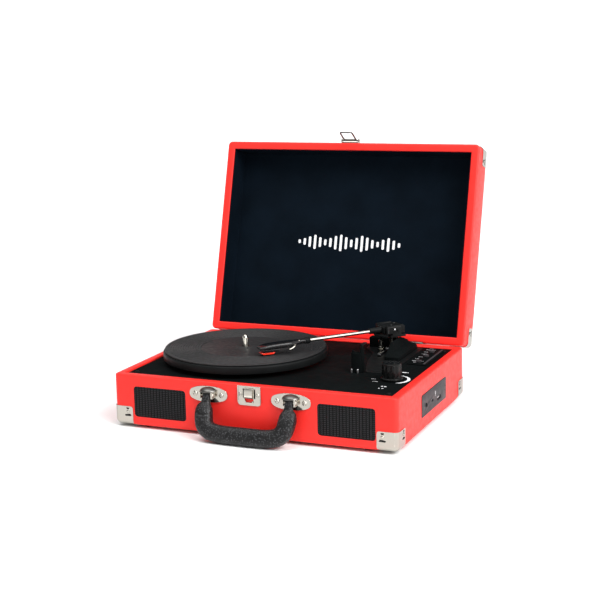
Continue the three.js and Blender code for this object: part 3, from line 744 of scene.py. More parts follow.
def rim_rings(rim_z, sign):
    """Over the rim, from the outer wall to the inner one."""
    rings = []
    for a in quarter_turn(4):
        rings.append(wall_ring(
            lambda share, a=a: EDGE_RADIUS * (1 - math.cos(a)),
            lambda share, a=a: rim_z - sign * EDGE_RADIUS * (1 - math.sin(a)),
        ))
    for a in quarter_turn(4):
        rings.append(wall_ring(
            lambda share, a=a: WALL - RIM_RADIUS * (1 - math.sin(a)),
            lambda share, a=a: rim_z - sign * RIM_RADIUS * (1 - math.cos(a)),
        ))
    return rings


def hinge_pockets():
    """Notches in the back walls, where the two rims meet, that clear the hinge barrels."""
    half, rise = 17.3, 2.3
    return [
        slab(x - half, x + half, HINGE_Y - rise, HALF_D + 3, HINGE_Z - rise, HINGE_Z + rise)
        for x in (-HINGE_X, HINGE_X)
    ]


def base_wall():
    inner_foot = wall_ring(lambda share: WALL, lambda share: FOOT_HEIGHT)
    wall = loft([*ball_rings(FOOT_HEIGHT, 1), *rim_rings(RIM_Z, 1), inner_foot], wrap=True)
    grille = rounded(68.1, 36.6, 4.6)
    holes = [
        moved(prism(grille, -1, WALL + 1), CASE_FRONT @ at(side * GRILLE_X, GRILLE_Z, -WALL))
        for _, side in SIDES
    ]
    side_hole = prism(rounded(94.6, 26.6, 2.2), -1, WALL + 1)
    holes.append(moved(side_hole, at(HALF_W - WALL, SIDE_PANEL_Y, SIDE_PANEL_Z) @ RIGHT))
    rear_hole = prism(rounded(70.6, 22.6, 2.2), -1, WALL + 1)
    holes.append(moved(rear_hole, at(REAR_PANEL_X, HALF_D - WALL, REAR_PANEL_Z) @ BACK))
    return carved(wall, *holes, *hinge_pockets())


def lid_wall():
    ceiling = wall_ring(lambda share: WALL, lambda share: LID_CEILING_Z)
    rings = [ceiling, *reversed(rim_rings(LID_RIM_Z, -1)), *reversed(ball_rings(LID_TOP_Z, -1))]
    return carved(loft(rings), *hinge_pockets())


def add_case_walls():
    add("base_wrap", base_wall(), CASE, "red_leatherette", "base", ["base_case"], 0.7, 3)
    add("lid_wrap", lid_wall(), LID, "red_leatherette", "lid", ["lid_shell"], sharp_deg=50)


# -------------------- nickel corners

CAP_STAND_OFF = 0.9
CAP_RADIUS = BALL_RADIUS + CAP_STAND_OFF
CAP_REACH = 24.0 + CAP_STAND_OFF
CAP_RISE = 22.0 + CAP_STAND_OFF
CAP_PETAL = 3.0
CAP_SKIN = 0.6
CAP_NAILS = (
    at(-18.4, 0.0, -16.6) @ turned(-90, "X"),
    at(0.0, -18.4, -16.6) @ turned(90, "Y") @ turned(-90, "Z"),
)


def petal_point(a, b, reach_a, reach_b):
    """A square's point moved so that the square's far corner is rounded."""
    over_a = a - (reach_a - CAP_PETAL)
    over_b = b - (reach_b - CAP_PETAL)
    if over_a <= 0 or over_b <= 0:
        return a, b
    pull = max(over_a, over_b) / math.hypot(over_a, over_b)
    return a - over_a * (1 - pull), b - over_b * (1 - pull)


def corner_cap():
    """Three petals round a ball corner that points to +X, +Y and +Z from the origin."""
    reach = (CAP_REACH, CAP_REACH, CAP_RISE)
    outer, inner, faces, known = [], [], [], {}

    def marks(limit):
        return [*np.linspace(0, CAP_RADIUS, 9), *np.linspace(CAP_RADIUS, limit, 10)[1:]]

    def vertex(sharp):
        key = tuple(round(c, 4) for c in sharp)
        if key not in known:
            known[key] = len(outer)
            centre = Vector([min(c, -CAP_RADIUS) for c in sharp])
            way = (Vector(sharp) - centre).normalized()
            outer.append(tuple(centre + way * CAP_RADIUS))
            inner.append(tuple(centre + way * (CAP_RADIUS - CAP_SKIN)))
        return known[key]

    for axis in range(3):
        i, j = (axis + 1) % 3, (axis + 2) % 3
        grid = []
        for a in marks(reach[i]):
            row = []
            for b in marks(reach[j]):
                sharp = [0.0, 0.0, 0.0]
                moved_a, moved_b = petal_point(a, b, reach[i], reach[j])
                sharp[i], sharp[j] = -moved_a, -moved_b
                row.append(vertex(sharp))
            grid.append(row)
        for low, high in zip(grid, grid[1:]):
            for k in range(len(low) - 1):
                faces.append((low[k], low[k + 1], high[k + 1], high[k]))
    skin = shell(outer, inner, faces)
    return merged(skin, copies(rivet(2.1, 0.9, 0, 0, 0), CAP_NAILS))


def nail_notch_shade():
    """Two black marks beside each nail: painted shade in the notches cut in the cap's metal."""
    claw = softened([(-4.2, -5.3), (3.7, -5.6), (4.3, -3.9), (0.4, -3.0), (-3.0, -2.7)], 0.3, 2)
    nick = softened([(-1.9, 4.6), (2.1, 4.8), (1.9, 3.2), (0.2, 2.6), (-1.5, 3.2)], 0.3, 2)
    marks = merged(prism(claw, -0.05, 0.06), prism(nick, -0.05, 0.06))
    return copies(marks, CAP_NAILS)


def mirror(x, y, z):
    return Matrix.Diagonal((x, y, z, 1))


def add_corner_caps():
    cap = corner_cap()
    notch_shade = nail_notch_shade()
    x = HALF_W + CAP_STAND_OFF
    y = HALF_D + CAP_STAND_OFF
    for place, sx, sy in CORNERS:
        base = CASE @ at(sx * x, sy * y, FOOT_HEIGHT - CAP_STAND_OFF) @ mirror(sx, sy, -1)
        add(f"base_cap_{place}", cap, base, "cap_nickel", "base", [f"base_corner_{place}"])
        # Black marks beside the nails: painted shade in the caps' notches.
        add(f"base_cap_notches_{place}", notch_shade, base, "black_plastic", "base")
        lid = LID @ at(sx * x, sy * y, LID_TOP_Z + CAP_STAND_OFF) @ mirror(sx, sy, 1)
        add(f"lid_cap_{place}", cap, lid, "cap_nickel", "lid", [f"lid_corner_{place}"])
        add(f"lid_cap_notches_{place}", notch_shade, lid, "black_plastic", "lid")


# -------------------- speaker grilles


def stitch_height(across, along):
    """The relief of a plain knit, 0 to 1, at a place counted in columns and rows. Each column
    is a chain of V stitches, with a deep gap between columns and a crease down the middle."""
    turn = across % 1.0
    column = math.sin(math.pi * turn) ** 0.6 * (0.45 + 0.55 * abs(math.sin(2 * math.pi * turn)))
    slant = 0.7 * abs(2 * turn - 1)
    row = abs(math.sin(math.pi * (along + slant)))
    return column * (0.1 + 0.9 * row)


def knit_cloth(width, height):
    """The cloth, drawn facing +Z."""
    columns = round(width / KNIT["column"])
    rows = round(height / KNIT["row"])
    steps_x = columns * KNIT["samples"]
    steps_y = rows * KNIT["samples"] // 2
    points = []
    for j in range(steps_y + 1):
        for i in range(steps_x + 1):
            lift = stitch_height(columns * i / steps_x, rows * j / steps_y)
            x = width * (i / steps_x - 0.5)
            y = height * (j / steps_y - 0.5)
            points.append((x, y, KNIT["relief"] * lift))
    back = [(x, y, -0.8) for x, y, _ in points]
    return shell(points, back, grid_faces(steps_y, steps_x))


def add_grilles():
    cloth = knit_cloth(69.6, 38.0)
    for side, sign in SIDES:
        place = CASE @ at(sign * GRILLE_X, CLOTH_Y, GRILLE_Z) @ FRONT
        node = f"speaker_grille_{side}"
        add(f"grille_cloth_{side}", cloth, place, "grille_mesh", "base", [node], sharp_deg=80)


# -------------------- platter, mat and spindle

TURNTABLE = CASE @ at(SPINDLE_X, SPINDLE_Y, 0)


def platter_profile():
    return [(3.9, 64.6), (12, 64.6), (12, 72.5), (56, 72.5), (56, 67.5), (60, 67.5), (60, 72.5),
            (97, 72.5), (97, 68), (100, 68), (100, 75.6), (98.6, 77), (3.9, 77)]


def mat_profile():
    """A rubber mat with a sunk label ring and fine concentric ribs."""
    floor, top = 78.3, 79.0
    line = [(4.2, 77.3), (97.4, 77.3), (98, 77.9), (98, 78.6), (97.5, top), (94, top)]
    radius = 94.0
    while radius > 56:
        line += [(radius - 0.4, floor + 0.2), (radius - 1.4, floor + 0.2), (radius - 1.8, top),
                 (radius - 3.0, top)]
        radius -= 3.0
    line += [(54.5, top), (53.8, floor), (12, floor), (11, top), (4.6, top), (4.2, 78.7)]
    return line


def spindle_profile():
    return [(0, 50), (3.5, 50), (3.5, 88.6), (3.1, 90.2), (2.2, 92.0), (1.1, 93.0), (0, 93.3)]


def add_turntable():
    add("platter_disc", lathe_ring(softened(platter_profile(), 0.6, 2), 128), TURNTABLE,
        "black_plastic", "turntable", ["platter"])
    add("ribbed_mat", lathe_ring(softened(mat_profile(), 0.15, 2), 128), TURNTABLE,
        "rubber", "turntable", ["platter_mat"])
    add("spindle_pin", lathe(spindle_profile(), 32), TURNTABLE, "chrome", "turntable", ["spindle"])


# -------------------- tonearm


def head_body():
    """The headshell as a loft of rounded sections, from the tube's end along +X."""
    stations = [  # x, half width, bottom, top
        (0.0, 3.0, 88.6, 93.0), (1.0, 3.5, 88.3, 93.3), (9.0, 4.2, 87.7, 93.3),
        (14.0, 5.6, 86.9, 93.2), (20.0, 7.4, 86.7, 93.1), (26.0, 8.0, 86.6, 93.0),
        (38.0, 8.0, 86.6, 92.7), (48.0, 8.0, 86.6, 92.2), (54.0, 7.6, 86.7, 91.0),
        (58.0, 6.6, 86.9, 90.0), (60.0, 5.2, 87.2, 89.2),
    ]
    rings = []
    for x, half, bottom, top in smooth_path(stations, 3):
        section = squircle(2 * half, top - bottom, 4.5, 32)
        rings.append([(x, y, (top + bottom) / 2 + z) for y, z in section])
    return loft(rings)


def finger_lift():
    path = smooth_path([(15, 5.0, 90.0), (16, 8.2, 89.8), (18, 10.4, 88.6), (21, 11.0, 86.8),
                        (24.5, 10.6, 85.6)], 5)
    blade = [squircle(2.2, 0.8, 3, 14)] * len(path)
    return merged(sweep(path, blade, (0, 0, 1)), rivet(1.2, 0.6, 8.5, 2.8, 93.0))


def collar():
    profile = softened([(0, -0.5), (3.9, -0.5), (3.9, 5), (3.1, 7), (0, 7)], 0.5, 2, closed=False)
    return moved(lathe(profile, 28), at(HEAD_START - 5.5, 0, ARM_Z) @ turned(90, "Y"))


def add_tonearm():
    add("head_body", head_body(), HEAD, "gloss_black", "tonearm", ["headshell"])
    add("head_finger_lift", finger_lift(), HEAD, "chrome", "tonearm")
    add("tube_collar", collar(), ARM, "black_plastic", "tonearm")
    tube = rod_along_x(2.3, 34, HEAD_START - GAP, ARM_Z, 28)
    add("arm_tube", tube, ARM, "chrome", "tonearm", ["tonearm_tube"])
    cantilever = sweep([(50, 0, 82.9), (53, 0, 81.7), (56.5, 0, 80.9)],
                       [circle(0.35, 10)] * 3, (0, 0, 1))
    add("stylus_cantilever", cantilever, HEAD, "steel", "tonearm")
    bumps = merged(rivet(1.3, 0.8, -5, -5, 96.4), rivet(1.3, 0.8, 5, 5, 96.4))
    add("pivot_bumps", bumps, ARM, "gloss_black", "tonearm")
    cheek_dot = moved(prism(circle(0.9, 20), 0, 0.12), at(5.0, 13.02, ARM_Z + 1.6) @ BACK)
    add("pivot_dot", cheek_dot, ARM, "white_ink", "yoke")
    frame = merged(
        slab(13.6, 14.4, 12.9, 13.25, 87.6, 96.2),
        slab(-3.6, 13.6, 12.9, 13.25, 95.0, 95.6),
    )
    add("yoke_frame_lines", frame, ARM, "gloss_black", "yoke", bevel=0.1)


PLINTH = ((101, -25), (121, -22), (129, 20), (129, 110), (58, 110), (60, 92), (78, 66), (85, 26))


def cue_post():
    """The lift's bright cylinder: a flanged foot, a ringed barrel and a bored top."""
    profile = [(2.05, 62.3), (5, 62.3), (5, 63.8), (3.4, 64.4), (3.4, 66.6), (4.4, 67.0),
               (4.4, 68.6), (3.4, 69.0), (3.4, 71.2), (3.0, 71.6), (3.0, 72.6), (3.6, 73.0),
               (3.6, 79.4), (3.0, 80), (2.05, 80)]
    return moved(lathe_ring(profile, 32), at(87, 71, 0))


def pillar():
    profile = [(0, 62.3), (6, 62.3), (6, 64.2), (5.0, 65.0), (4.5, 65.6), (4.5, 76.6),
               (4.9, 77.0), (4.9, 78.6), (4.5, 79.0), (4.5, 81.4), (4.1, 81.8), (3, 81.8),
               (3, 84.6), (0, 84.6)]
    return moved(lathe(profile, 36), at(ARM_X, ARM_Y, 0))


def rest_feet():
    """Two bright pins at the foot of the arm rest."""
    foot = lathe([(0, 62.2), (1.1, 62.2), (1.1, 66.2), (0.7, 66.8), (0, 66.8)], 20)
    return copies(foot, [at(x, -30, 0) for x in (86, 93.4)])


def add_arm_base():
    plinth = prism(softened(PLINTH, 4, 4), DECK_TOP - 0.2, DECK_TOP + 1.0)
    add("arm_plinth", plinth, CASE, "black_plastic", "base", bevel=0.4)
    add("cue_post", cue_post(), CASE, "chrome", "base", ["cue_cylinder"], sharp_deg=30)
    add("rest_feet", rest_feet(), CASE, "steel", "base", sharp_deg=30)
    add("arm_pillar", pillar(), CASE, "chrome", "base", ["tonearm_pillar"], sharp_deg=30)


# -------------------- volume knob and deck marks

KNOB = CASE @ at(KNOB_X, KNOB_Y, 0)
FLUTES = 12
FLUTE_STEPS = 10 * FLUTES
MARK_LIFT = 0.02
MARK_HEIGHT = 0.06
DASH_GAP = 0.65


def fluted_section(radius, depth):
    points = []
    for i in range(FLUTE_STEPS):
        angle = 2 * math.pi * i / FLUTE_STEPS
        r = radius + depth * math.cos(FLUTES * angle)
        points.append((r * math.cos(angle), r * math.sin(angle)))
    return points


def knob_body():
    levels = [(64.6, 11.0, 0.0), (65.4, 11.2, 0.32), (80.0, 11.0, 0.32), (80.8, 10.8, 0.0)]
    rings = [[(x, y, z) for x, y in fluted_section(r, d)] for z, r, d in levels]
    rim = [(0, -1.6), (10.9, -1.6), (10.9, -0.5), (10.4, 0), (10.0, -0.1), (0, -0.2)]
    cap = lathe([(radius, KNOB_TOP + drop) for radius, drop in rim], 56)
    skirt = lathe(softened([(0, 62.8), (12.6, 62.8), (12.6, 65), (11.2, 65.8), (0, 65.8)],
                           0.6, 3, closed=False), 72)
    return merged(skirt, loft(rings), cap)


def dial_crescent():
    """A volume scale: the part of a disc that a like disc, moved to its left, leaves bare."""
    centre_x, centre_y, radius = 2.0, 3.0, 18.4
    width = 3.6
    outer, inner = [], []
    for degrees in range(-56, 85, 4):
        angle = math.radians(degrees)
        x = centre_x + radius * math.cos(angle)
        y = centre_y + radius * math.sin(angle)
        outer.append((x, y))
        inner.append((x - width, y))
    return prism([*outer, *reversed(inner)], DECK_TOP + MARK_LIFT, DECK_TOP + MARK_HEIGHT)


def flat_mark(outline, x, y, z=DECK_TOP):
    return moved(prism(outline, MARK_LIFT, MARK_HEIGHT), at(x, y, z))


def dashes(x, y, lengths, z=DECK_TOP, height=0.9):
    """Short lines side by side along X, one for each length."""
    marks = []
    for length in lengths:
        marks.append(flat_mark(rounded(length, height, 0.3), x + length / 2, y, z))
        x += length + DASH_GAP
    return merged(*marks)


def deck_marks():
    return merged(
        dashes(116.5, -48.5, (3.4, 1.4)),
        dashes(121.5, -58.5, (2.0, 4.2)),
        flat_mark(circle(1.35, 20), 139.5, -76.5),
        flat_mark(circle(1.35, 20), 143.2, -76.5),
        flat_mark(circle(1.0, 20), 139.0, -85.5),
        flat_mark(circle(1.1, 20), 142.9, -85.0),
        dashes(141, -9.8, (5.6, 1.4), height=2.2),
    )


def add_knob_and_marks():
    add("knob_body", knob_body(), KNOB, "knob_black", "volume_knob", ["volume_knob"])
    pointer = moved(prism(rounded(3.0, 0.6, 0.25), 0, 0.05), at(-7.6, 3.0, KNOB_TOP - 0.2))
    add("knob_pointer", pointer, KNOB, "grey_ink", "volume_knob")
    add("dial_crescent", dial_crescent(), KNOB, "white_ink", "base")
    add("deck_marks", deck_marks(), CASE, "white_ink", "base")
    corners = [screw(2.6, sx * 157, sy * 104, DECK_TOP, 30 * sx + 20 * sy)
               for _, sx, sy in CORNERS]
    add("deck_screws", merged(*corners), CASE, "black_plastic", "base")


# -------------------- control plate marks

CONTROL_TOP = 63.3
CONTROL_DASHES = (  # x, y, lengths, height
    (135.6, 43.4, (5.6,), 1.6),
    (142.4, 43.4, (1.2, 5.8), 0.8),
    (136.0, 54.0, (1.4, 2.6), 1.6),
    (137.0, 64.0, (1.8, 1.0, 1.6), 1.6),
    (136.4, 79.0, (1.2, 3.2, 1.2), 1.6),
    (136.0, 90.0, (2.0, 2.4), 1.6),
    (135.2, 102.0, (4.4, 5.0, 1.4), 1.4),
    (138.0, 108.0, (1.4, 3.0), 1.0),
)


def control_marks():
    ring = moved(lathe_ring([(1.6, MARK_LIFT), (2.3, MARK_LIFT), (2.3, MARK_HEIGHT)], 24),
                 at(141.5, 37, CONTROL_TOP))
    rows = [dashes(x, y, lengths, CONTROL_TOP, height=height)
            for x, y, lengths, height in CONTROL_DASHES]
    return merged(ring, *rows)


def add_control_marks():
    add("control_marks", control_marks(), CASE, "grey_ink", "base")
    # A grey strip along the control plate's right edge: a painted highlight where the plate's glossy
    # chamfer catches the light.
    strip = moved(prism(rounded(2.4, 78, 0.6), 0, 0.5), at(154.4, 68, CONTROL_TOP))
    add("control_strip", strip, CASE, "grey_plastic", "base", bevel=0.2)


# -------------------- sockets


def side_panel_details():
    """Socket rings and liners behind the side panel's holes, drawn facing +Z."""
    ring = lathe_ring([(1.8, -3), (2.5, -3), (2.5, 0.55), (2.2, 0.8), (1.8, 0.6)], 28)
    liner = carved(
        slab(9.8, 26.2, -8.8, -1.8, -13, -2.2),
        slab(11.0, 25.0, -7.6, -3.0, -11, 0),
    )
    small = carved(
        slab(-12.2, -3.3, -4.6, 0.6, -9, -2.2),
        slab(-11.0, -4.5, -3.4, -0.6, -7, 0),
    )
    return merged(moved(ring, at(-31, -1.5, 0)), liner, small)


def add_sockets():
    panel = CASE @ at(HALF_W + PANEL_PROUD, SIDE_PANEL_Y, SIDE_PANEL_Z) @ RIGHT
    add("side_socket_shells", side_panel_details(), panel, "gloss_black", "base", sharp_deg=30)
    tongues = merged(
        slab(12.6, 23.4, -5.6, -4.2, -11.5, -1.0),
        slab(-9.8, -5.7, -2.3, -1.7, -7.4, -1.0),
        lathe([(0, -9), (1.8, -9), (1.8, -8.5), (0, -8.5)], 20),
    )
    add("side_socket_tongues", tongues, panel, "steel", "base", bevel=0.15)
    icon = merged(
        flat_mark(circle(0.9, 16), 4, 5.4, 0),
        flat_mark(rounded(0.7, 4.4, 0.3), 4, 2.4, 0),
        flat_mark(rounded(3.6, 0.7, 0.3), 4, 3.6, 0),
    )
    add("side_panel_icon", icon, panel, "white_ink", "base")
    lamps = merged(rivet(0.9, 0.5, 42.5, 3.2, 0), rivet(0.9, 0.5, 42.5, -2.4, 0))
    add("side_panel_lamps", lamps, panel, "gloss_black", "base")
    rear = CASE @ at(REAR_PANEL_X, HALF_D + PANEL_PROUD, REAR_PANEL_Z) @ BACK
    sockets = []
    for x, radius in ((22, 4.0), (4, 4.0), (-22, 3.0)):
        profile = [(0.5 * radius, -7), (radius - 0.1, -7), (radius - 0.1, 2.4),
                   (0.86 * radius, 2.8), (0.7 * radius, 2.8), (0.7 * radius, -6), (0.5 * radius, -6)]
        sockets.append(moved(lathe_ring(profile, 32), at(x, 0, 0)))
    add("rear_sockets", merged(*sockets), rear, "steel", "base", sharp_deg=30)


# -------------------- handle

HANDLE = CASE @ at(0, HANDLE_Y, HANDLE_Z) @ turned(-HANDLE_LEAN_DEG, "X")


def grip():
    """A moulded grip as a swept section. Drawn from its pivot, hanging in the XZ plane."""
    half = [  # x, z, width, thickness
        (-51.0, 3.1, 4.0, 2.6), (-51.0, 2.2, 8.4, 5.2), (-51.0, 0.0, 10.2, 6.4),
        (-51.0, -7.4, 10.4, 7.0), (-51.2, -10.8, 15.0, 9.0), (-51.5, -14.6, 19.2, 11.8),
        (-51.3, -21.5, 20.4, 14.9), (-48.6, -33.0, 20.4, 16.0), (-41.6, -39.6, 20.6, 16.0),
        (-30.0, -42.1, 20.4, 16.0), (-15.0, -42.5, 20.4, 16.0),
    ]
    whole = [*half, (0.0, -42.6, 20.6, 16.0), *[(-x, z, w, t) for x, z, w, t in reversed(half)]]
    rows = smooth_path(whole, 5)
    path = [(x, 0, z) for x, z, _, _ in rows]
    sections = [squircle(width, thick, 2.7, 32) for _, _, width, thick in rows]
    return sweep(path, sections, (0, 1, 0))


def boat_outline():
    """The bracket plate: a long leaf with a round nose at each end."""
    side = [(24.0, 0.0), (23.5, 3.0), (21.6, 5.4), (18.2, 7.0), (14.0, 8.3), (8.5, 9.2), (0, 9.6)]
    upper = [*side, *[(-x, y) for x, y in reversed(side[:-1])]]
    lower = [(x, -y) for x, y in reversed(upper[1:-1])]
    return softened([*upper, *lower], 1.0, 2)


def hood():
    """Half a dome over the handle's eye, drawn facing +Z with its opening down."""
    centre_y, centre_z = 3.4, 1.2
    outer, inner = [], []
    rows, columns = 8, 24
    for j in range(rows + 1):
        lift = math.pi / 2 * j / rows
        for i in range(columns + 1):
            turn = math.pi * i / columns
            rise = math.sin(turn)
            way = Vector((math.cos(turn), rise * math.cos(lift), rise * math.sin(lift)))
            outer.append((10.2 * way.x, centre_y + 5.2 * way.y, centre_z + 8.6 * way.z))
            inner.append((9.0 * way.x, centre_y + 4.1 * way.y, centre_z + 7.5 * way.z))
    return shell(outer, inner, grid_faces(rows, columns))


def bracket():
    plate = prism(boat_outline(), GAP, GAP + 1.5)
    lugs = side_slabs(7.3, 1.0, -3.6, 4.2, 1.0, 9.2)
    axle_z = 5.7
    axle = rod_along_x(1.5, -8.8, 8.8, axle_z)
    end = rivet(2.3, 1.2, 0, 0, 0)
    ends = [moved(end, at(side * 8.3, 0, axle_z) @ turned(90 * side, "Y")) for _, side in SIDES]
    return merged(plate, *lugs, axle, *ends)


def add_handle():
    add("grip_moulding", grip(), HANDLE, "handle_black", "handle", ["handle_grip"], sharp_deg=70)
    for side, sign in SIDES:
        place = CASE @ at(sign * HANDLE_X, -HALF_D, HANDLE_Z) @ FRONT
        node = f"handle_bracket_{side}"
        add(f"bracket_plate_{side}", bracket(), place, "chrome", "base", [node], 0.35)
        add(f"bracket_hood_{side}", hood(), place, "dull_nickel", "base", sharp_deg=50)
        screws = merged(screw(2.9, -16.4, 0, 1.8, 20), screw(2.9, 16.4, 0, 1.8, 65))
        add(f"bracket_screws_{side}", screws, place, "chrome", "base", sharp_deg=30)


# -------------------- latch


def catch_plate():
    """The plate on the base with its raised tongue, drawn facing +Z."""
    outline = [(-14.2, 11.3), (-14.2, -8.3), (-13.2, -10.4), (-11.2, -11.3), (11.2, -11.3),
               (13.2, -10.4), (14.2, -8.3), (14.2, 11.3)]
    plate = carved(
        prism(outline, GAP, 1.5),
        slab(-5.4, 5.4, -7.7, -3.7, -1, 3),
        *side_slabs(6.8, 0.8, -2.6, 8.0, -1, 3),
    )
    tongue = prism([(9.7, 1.3), (8.8, 3.6), (6.0, 4.5), (-0.6, 4.5), (-2.6, 3.7), (-3.3, 2.4),
                    (-2.7, 0.8)], -5.2, 5.2, along_x=True)
    lips = side_slabs(13.5, 0.7, -8.0, 11.3, 1.4, 2.1)
    hooks = side_slabs(4.6, 0.8, -7.9, -5.7, 0.6, 2.4)
    return merged(plate, tongue, *lips, *hooks)


def latch_plate():
    """The plate on the lid that carries the hasp, drawn facing +Z."""
    plate = prism(rounded(25, 16.4, 2.6), GAP, 1.5)
    ears = side_slabs(11.6, 0.8, -8.1, -2.6, 1.2, 5.4)
    bulge = prism([(-3.6, 1.2), (-2.9, 3.9), (4.2, 3.9), (6.0, 1.2)], -7, 7, along_x=True)
    return merged(plate, *ears, bulge)


def hasp():
    """A wire loop with a pressed crossbar, drawn hanging from its axle."""
    path = [(-8.2, 0, -0.4), (-8.2, 0, -17.8), (-7.6, 0, -19.9), (-5.6, 0, -20.7),
            (5.6, 0, -20.7), (7.6, 0, -19.9), (8.2, 0, -17.8), (8.2, 0, -0.4)]
    loop = sweep(path, [squircle(1.9, 1.6, 3, 16)] * len(path), (0, 1, 0))
    axle = rod_along_x(0.9, -12.6, 12.6)
    bridge = slab(-8.4, 8.4, -0.8, 0.8, -3.0, -0.2)
    return merged(loop, axle, bridge)


def add_latch():
    base = CASE @ at(0, -HALF_D, CATCH_Z) @ FRONT
    add("catch_pressing", catch_plate(), base, "chrome", "base", ["catch_plate"], 0.3)
    # Black strips behind the two side slots: painted shade in the slots.
    slot_shade = merged(*side_slabs(6.8, 1.0, -3.2, 8.6, 0.05, 0.3))
    add("catch_wells", slot_shade, base, "black_plastic", "base")
    screws = merged(screw(2.2, -10.6, 1.4, 1.5, 40), screw(2.2, 10.6, 1.4, 1.5, 10))
    add("catch_screws", screws, base, "chrome", "base", sharp_deg=30)
    lid = LID @ at(0, -HALF_D, LATCH_Z) @ FRONT
    add("latch_pressing", latch_plate(), lid, "chrome", "lid", ["latch_plate"], 0.3)
    screws = merged(screw(1.8, -9.6, 3.6, 1.5, 25), screw(1.8, 9.6, 3.6, 1.5, 70))
    add("latch_screws", screws, lid, "chrome", "lid", sharp_deg=30)
    loop = LID @ at(0, HASP_Y, HASP_Z) @ turned(-HASP_LIFT_DEG, "X")
    add("hasp_loop", hasp(), loop, "dull_nickel", "hasp", ["latch_hasp"], 0.2)


# -------------------- lid mark and hinges

LEVELS = (5, 9, 14, 19, 13, 8, 12, 18, 22, 16, 10, 15, 21, 17, 11, 7, 13, 18, 12, 6)
LEVEL_PITCH = 7.4


def level_bars():
    """A plain row of level bars, drawn facing +Z."""
    bars = []
    for k, height in enumerate(LEVELS):
        x = (k - (len(LEVELS) - 1) / 2) * LEVEL_PITCH
        bars.append(flat_mark(rounded(3.4, height, 1.6), x, 0, 0))
    return merged(*bars)


def add_lid_mark():
    place = LID @ at(-1.5, 1.0, LINING_FACE_Z) @ turned(180, "X")
    add("lid_level_bars", level_bars(), place, "white_ink", "lid")


def add_hinge_screws():
    screws = merged(*[screw(2.1, x, 0, 0, 30 + 5 * x) for x in (-11, 0, 11)])
    for side, sign in SIDES:
        base = CASE @ at(sign * HINGE_X, LEAF_FACE_Y, BASE_LEAF_Z) @ BACK
        add(f"hinge_base_screws_{side}", screws, base, "chrome", "base", sharp_deg=30)
        lid = LID @ at(sign * HINGE_X, LEAF_FACE_Y, LID_LEAF_Z) @ BACK
        add(f"hinge_lid_screws_{side}", screws, lid, "chrome", "lid", sharp_deg=30)


# -------------------- nodes shown as they are

CARRIED = {  # node: (finish, bevel in millimetres)
    "bottom_board": ("fibreboard", 0.4),
    "side_io_panel": ("grey_plastic", 0.35),
    "rear_io_panel": ("grey_plastic", 0.35),
    "circuit_board": ("circuit_green", 0.1),
    "deck_plate": ("deck_black", 0.3),
    "bearing_bush": ("brass", 0.2),
    "drive_belt": ("rubber", 0.1),
    "motor": ("steel", 0.4),
    "motor_pulley": ("brass", 0.2),
    "volume_pot": ("steel", 0.3),
    "speaker_driver_left": ("black_plastic", 0.3),
    "speaker_driver_right": ("black_plastic", 0.3),
    "tonearm_housing": ("deck_black", 0.7),
    "tonearm_yoke": ("black_plastic", 0.5),
    "tonearm_block": ("black_plastic", 0.8),
    "cartridge": ("gloss_black", 0.5),
    "stylus": ("stylus_red", 0.35),
    "arm_rest": ("deck_black", 0.35),
    "arm_clip": ("black_plastic", 0.3),
    "cue_platform": ("black_plastic", 0.3),
    "cue_lever": ("gloss_black", 0.4),
    "control_plate": ("cover_black", 0.25),
    "speed_switch": ("grey_plastic", 0.3),
    "autostop_switch": ("grey_plastic", 0.3),
    "mode_switch": ("grey_plastic", 0.3),
    "lid_lining": ("lid_lining", 0.3),
}
for part in ("base", "lid"):
    CARRIED.update({f"hinge_{part}_leaf_{side}": ("dull_nickel", 0.25) for side, _ in SIDES})
CARRIED.update({f"foot_{place}": ("rubber", 0.4) for place, _, _ in CORNERS})


def finish_carried_nodes():
    """The frame's own parts, welded, cleared of flat triangles and given soft edges."""
    for name, (finish, bevel) in CARRIED.items():
        node = frame["nodes"][name]
        node.data.materials.clear()
        node.data.materials.append(FINISHES[finish])
        weld = node.modifiers.new("weld", "WELD")
        weld.merge_threshold = 1e-6
        flatten = node.modifiers.new("flatten", "DECIMATE")
        flatten.decimate_type = "DISSOLVE"
        flatten.angle_limit = math.radians(1)
        add_bevel(node, bevel)
        node.data.shade_smooth()


# -------------------- camera, floor and light

LENS_MM = 79.104
CAMERA_AT = (0.613836, -1.461777, 0.443382)
CAMERA_TURN = {"azimuth": 23.019, "pitch": 11.177, "roll": -1.171}


def add_camera():
    azimuth, pitch, roll = (math.radians(CAMERA_TURN[k]) for k in ("azimuth", "pitch", "roll"))
    back = Vector((
        math.sin(azimuth) * math.cos(pitch),
        -math.cos(azimuth) * math.cos(pitch),
        math.sin(pitch),
    ))
    level_right = Vector((math.cos(azimuth), math.sin(azimuth), 0))
    level_up = back.cross(level_right)
    right = level_right * math.cos(roll) + level_up * math.sin(roll)
    up = level_up * math.cos(roll) - level_right * math.sin(roll)
    camera = new_object("camera", bpy.data.cameras.new("camera"))
    camera.data.lens = LENS_MM
    camera.data.sensor_width = 36
    camera.data.clip_start = 0.05
    camera.matrix_world = at(*CAMERA_AT) @ Matrix((right, up, back)).transposed().to_4x4()
    bpy.context.scene.camera = camera


def add_floor():
    """A wide pale floor. Its tone varies a little, as painted board does."""
    finish = Finish("floor", (0.86, 0.86, 0.86), 0.9, Specular_IOR_Level=0.1)
    finish.mottle(3, 2, 0.99, 1.0)
    floor = new_object("floor", to_mesh("floor", slab(-150, 150, -150, 150, -0.05, 0)))
    floor.data.materials.append(finish.material)


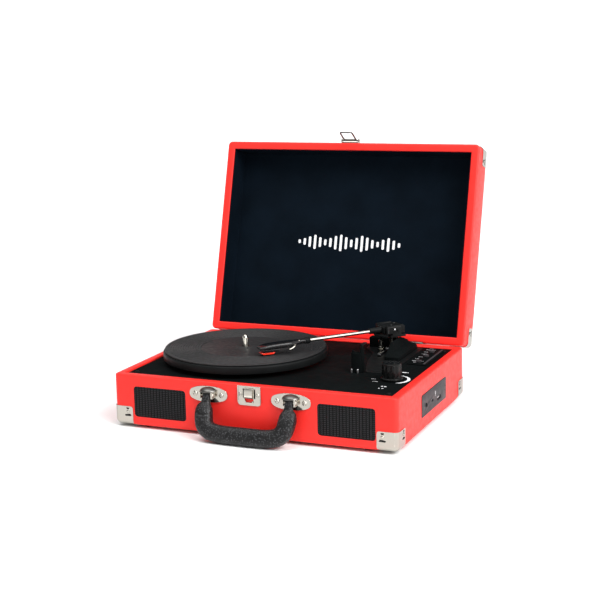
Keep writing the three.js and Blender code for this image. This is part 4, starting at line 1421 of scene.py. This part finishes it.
WORLD_TONES = ((0.0, 1.15), (0.16, 1.1), (0.24, 0.22), (0.5, 0.25), (0.75, 0.8))


def add_world():
    """White at the horizon and overhead, with a darker band between that shows in the metal."""
    world = bpy.data.worlds.new("studio")
    world.use_nodes = True
    tree = world.node_tree
    background = tree.nodes["Background"]
    coordinates = tree.nodes.new("ShaderNodeTexCoord")
    split = tree.nodes.new("ShaderNodeSeparateXYZ")
    tones = tree.nodes.new("ShaderNodeValToRGB")
    fill_ramp(tones, [(height, (tone, tone, tone)) for height, tone in WORLD_TONES])
    tree.links.new(coordinates.outputs["Generated"], split.inputs["Vector"])
    tree.links.new(split.outputs["Z"], tones.inputs["Fac"])
    tree.links.new(tones.outputs["Color"], background.inputs["Color"])
    background.inputs["Strength"].default_value = 1.0
    bpy.context.scene.world = world


def add_area(name, place, target, size, power):
    light = bpy.data.lights.new(name, "AREA")
    light.shape = "RECTANGLE"
    light.size, light.size_y = size
    light.energy = power
    obj = new_object(name, light)
    obj.location = place
    obj.rotation_euler = (Vector(target) - Vector(place)).to_track_quat("-Z", "Y").to_euler()


def add_sun(name, azimuth_deg, elevation_deg, strength, angle_deg):
    """A very soft sun. Azimuth 0 is in front of the case, and 90 to its right."""
    light = bpy.data.lights.new(name, "SUN")
    light.energy = strength
    light.angle = math.radians(angle_deg)
    aim = turned(azimuth_deg, "Z") @ turned(90 - elevation_deg, "X")
    new_object(name, light).rotation_euler = aim.to_euler()


def add_studio():
    add_floor()
    add_world()
    add_sun("key", 62, 38, 2.6, 35)
    add_sun("overhead", -20, 72, 1.5, 50)
    add_area("strip", (1.1, -0.2, 0.7), (0, 0, 0.1), (0.5, 1.2), 7)
    bpy.context.scene.view_settings.view_transform = "Standard"


# -------------------- put together

add_camera()
add_studio()
finish_carried_nodes()
add_case_walls()
add_corner_caps()
add_grilles()
add_turntable()
add_tonearm()
add_arm_base()
add_knob_and_marks()
add_control_marks()
add_sockets()
add_handle()
add_latch()
add_lid_mark()
add_hinge_screws()
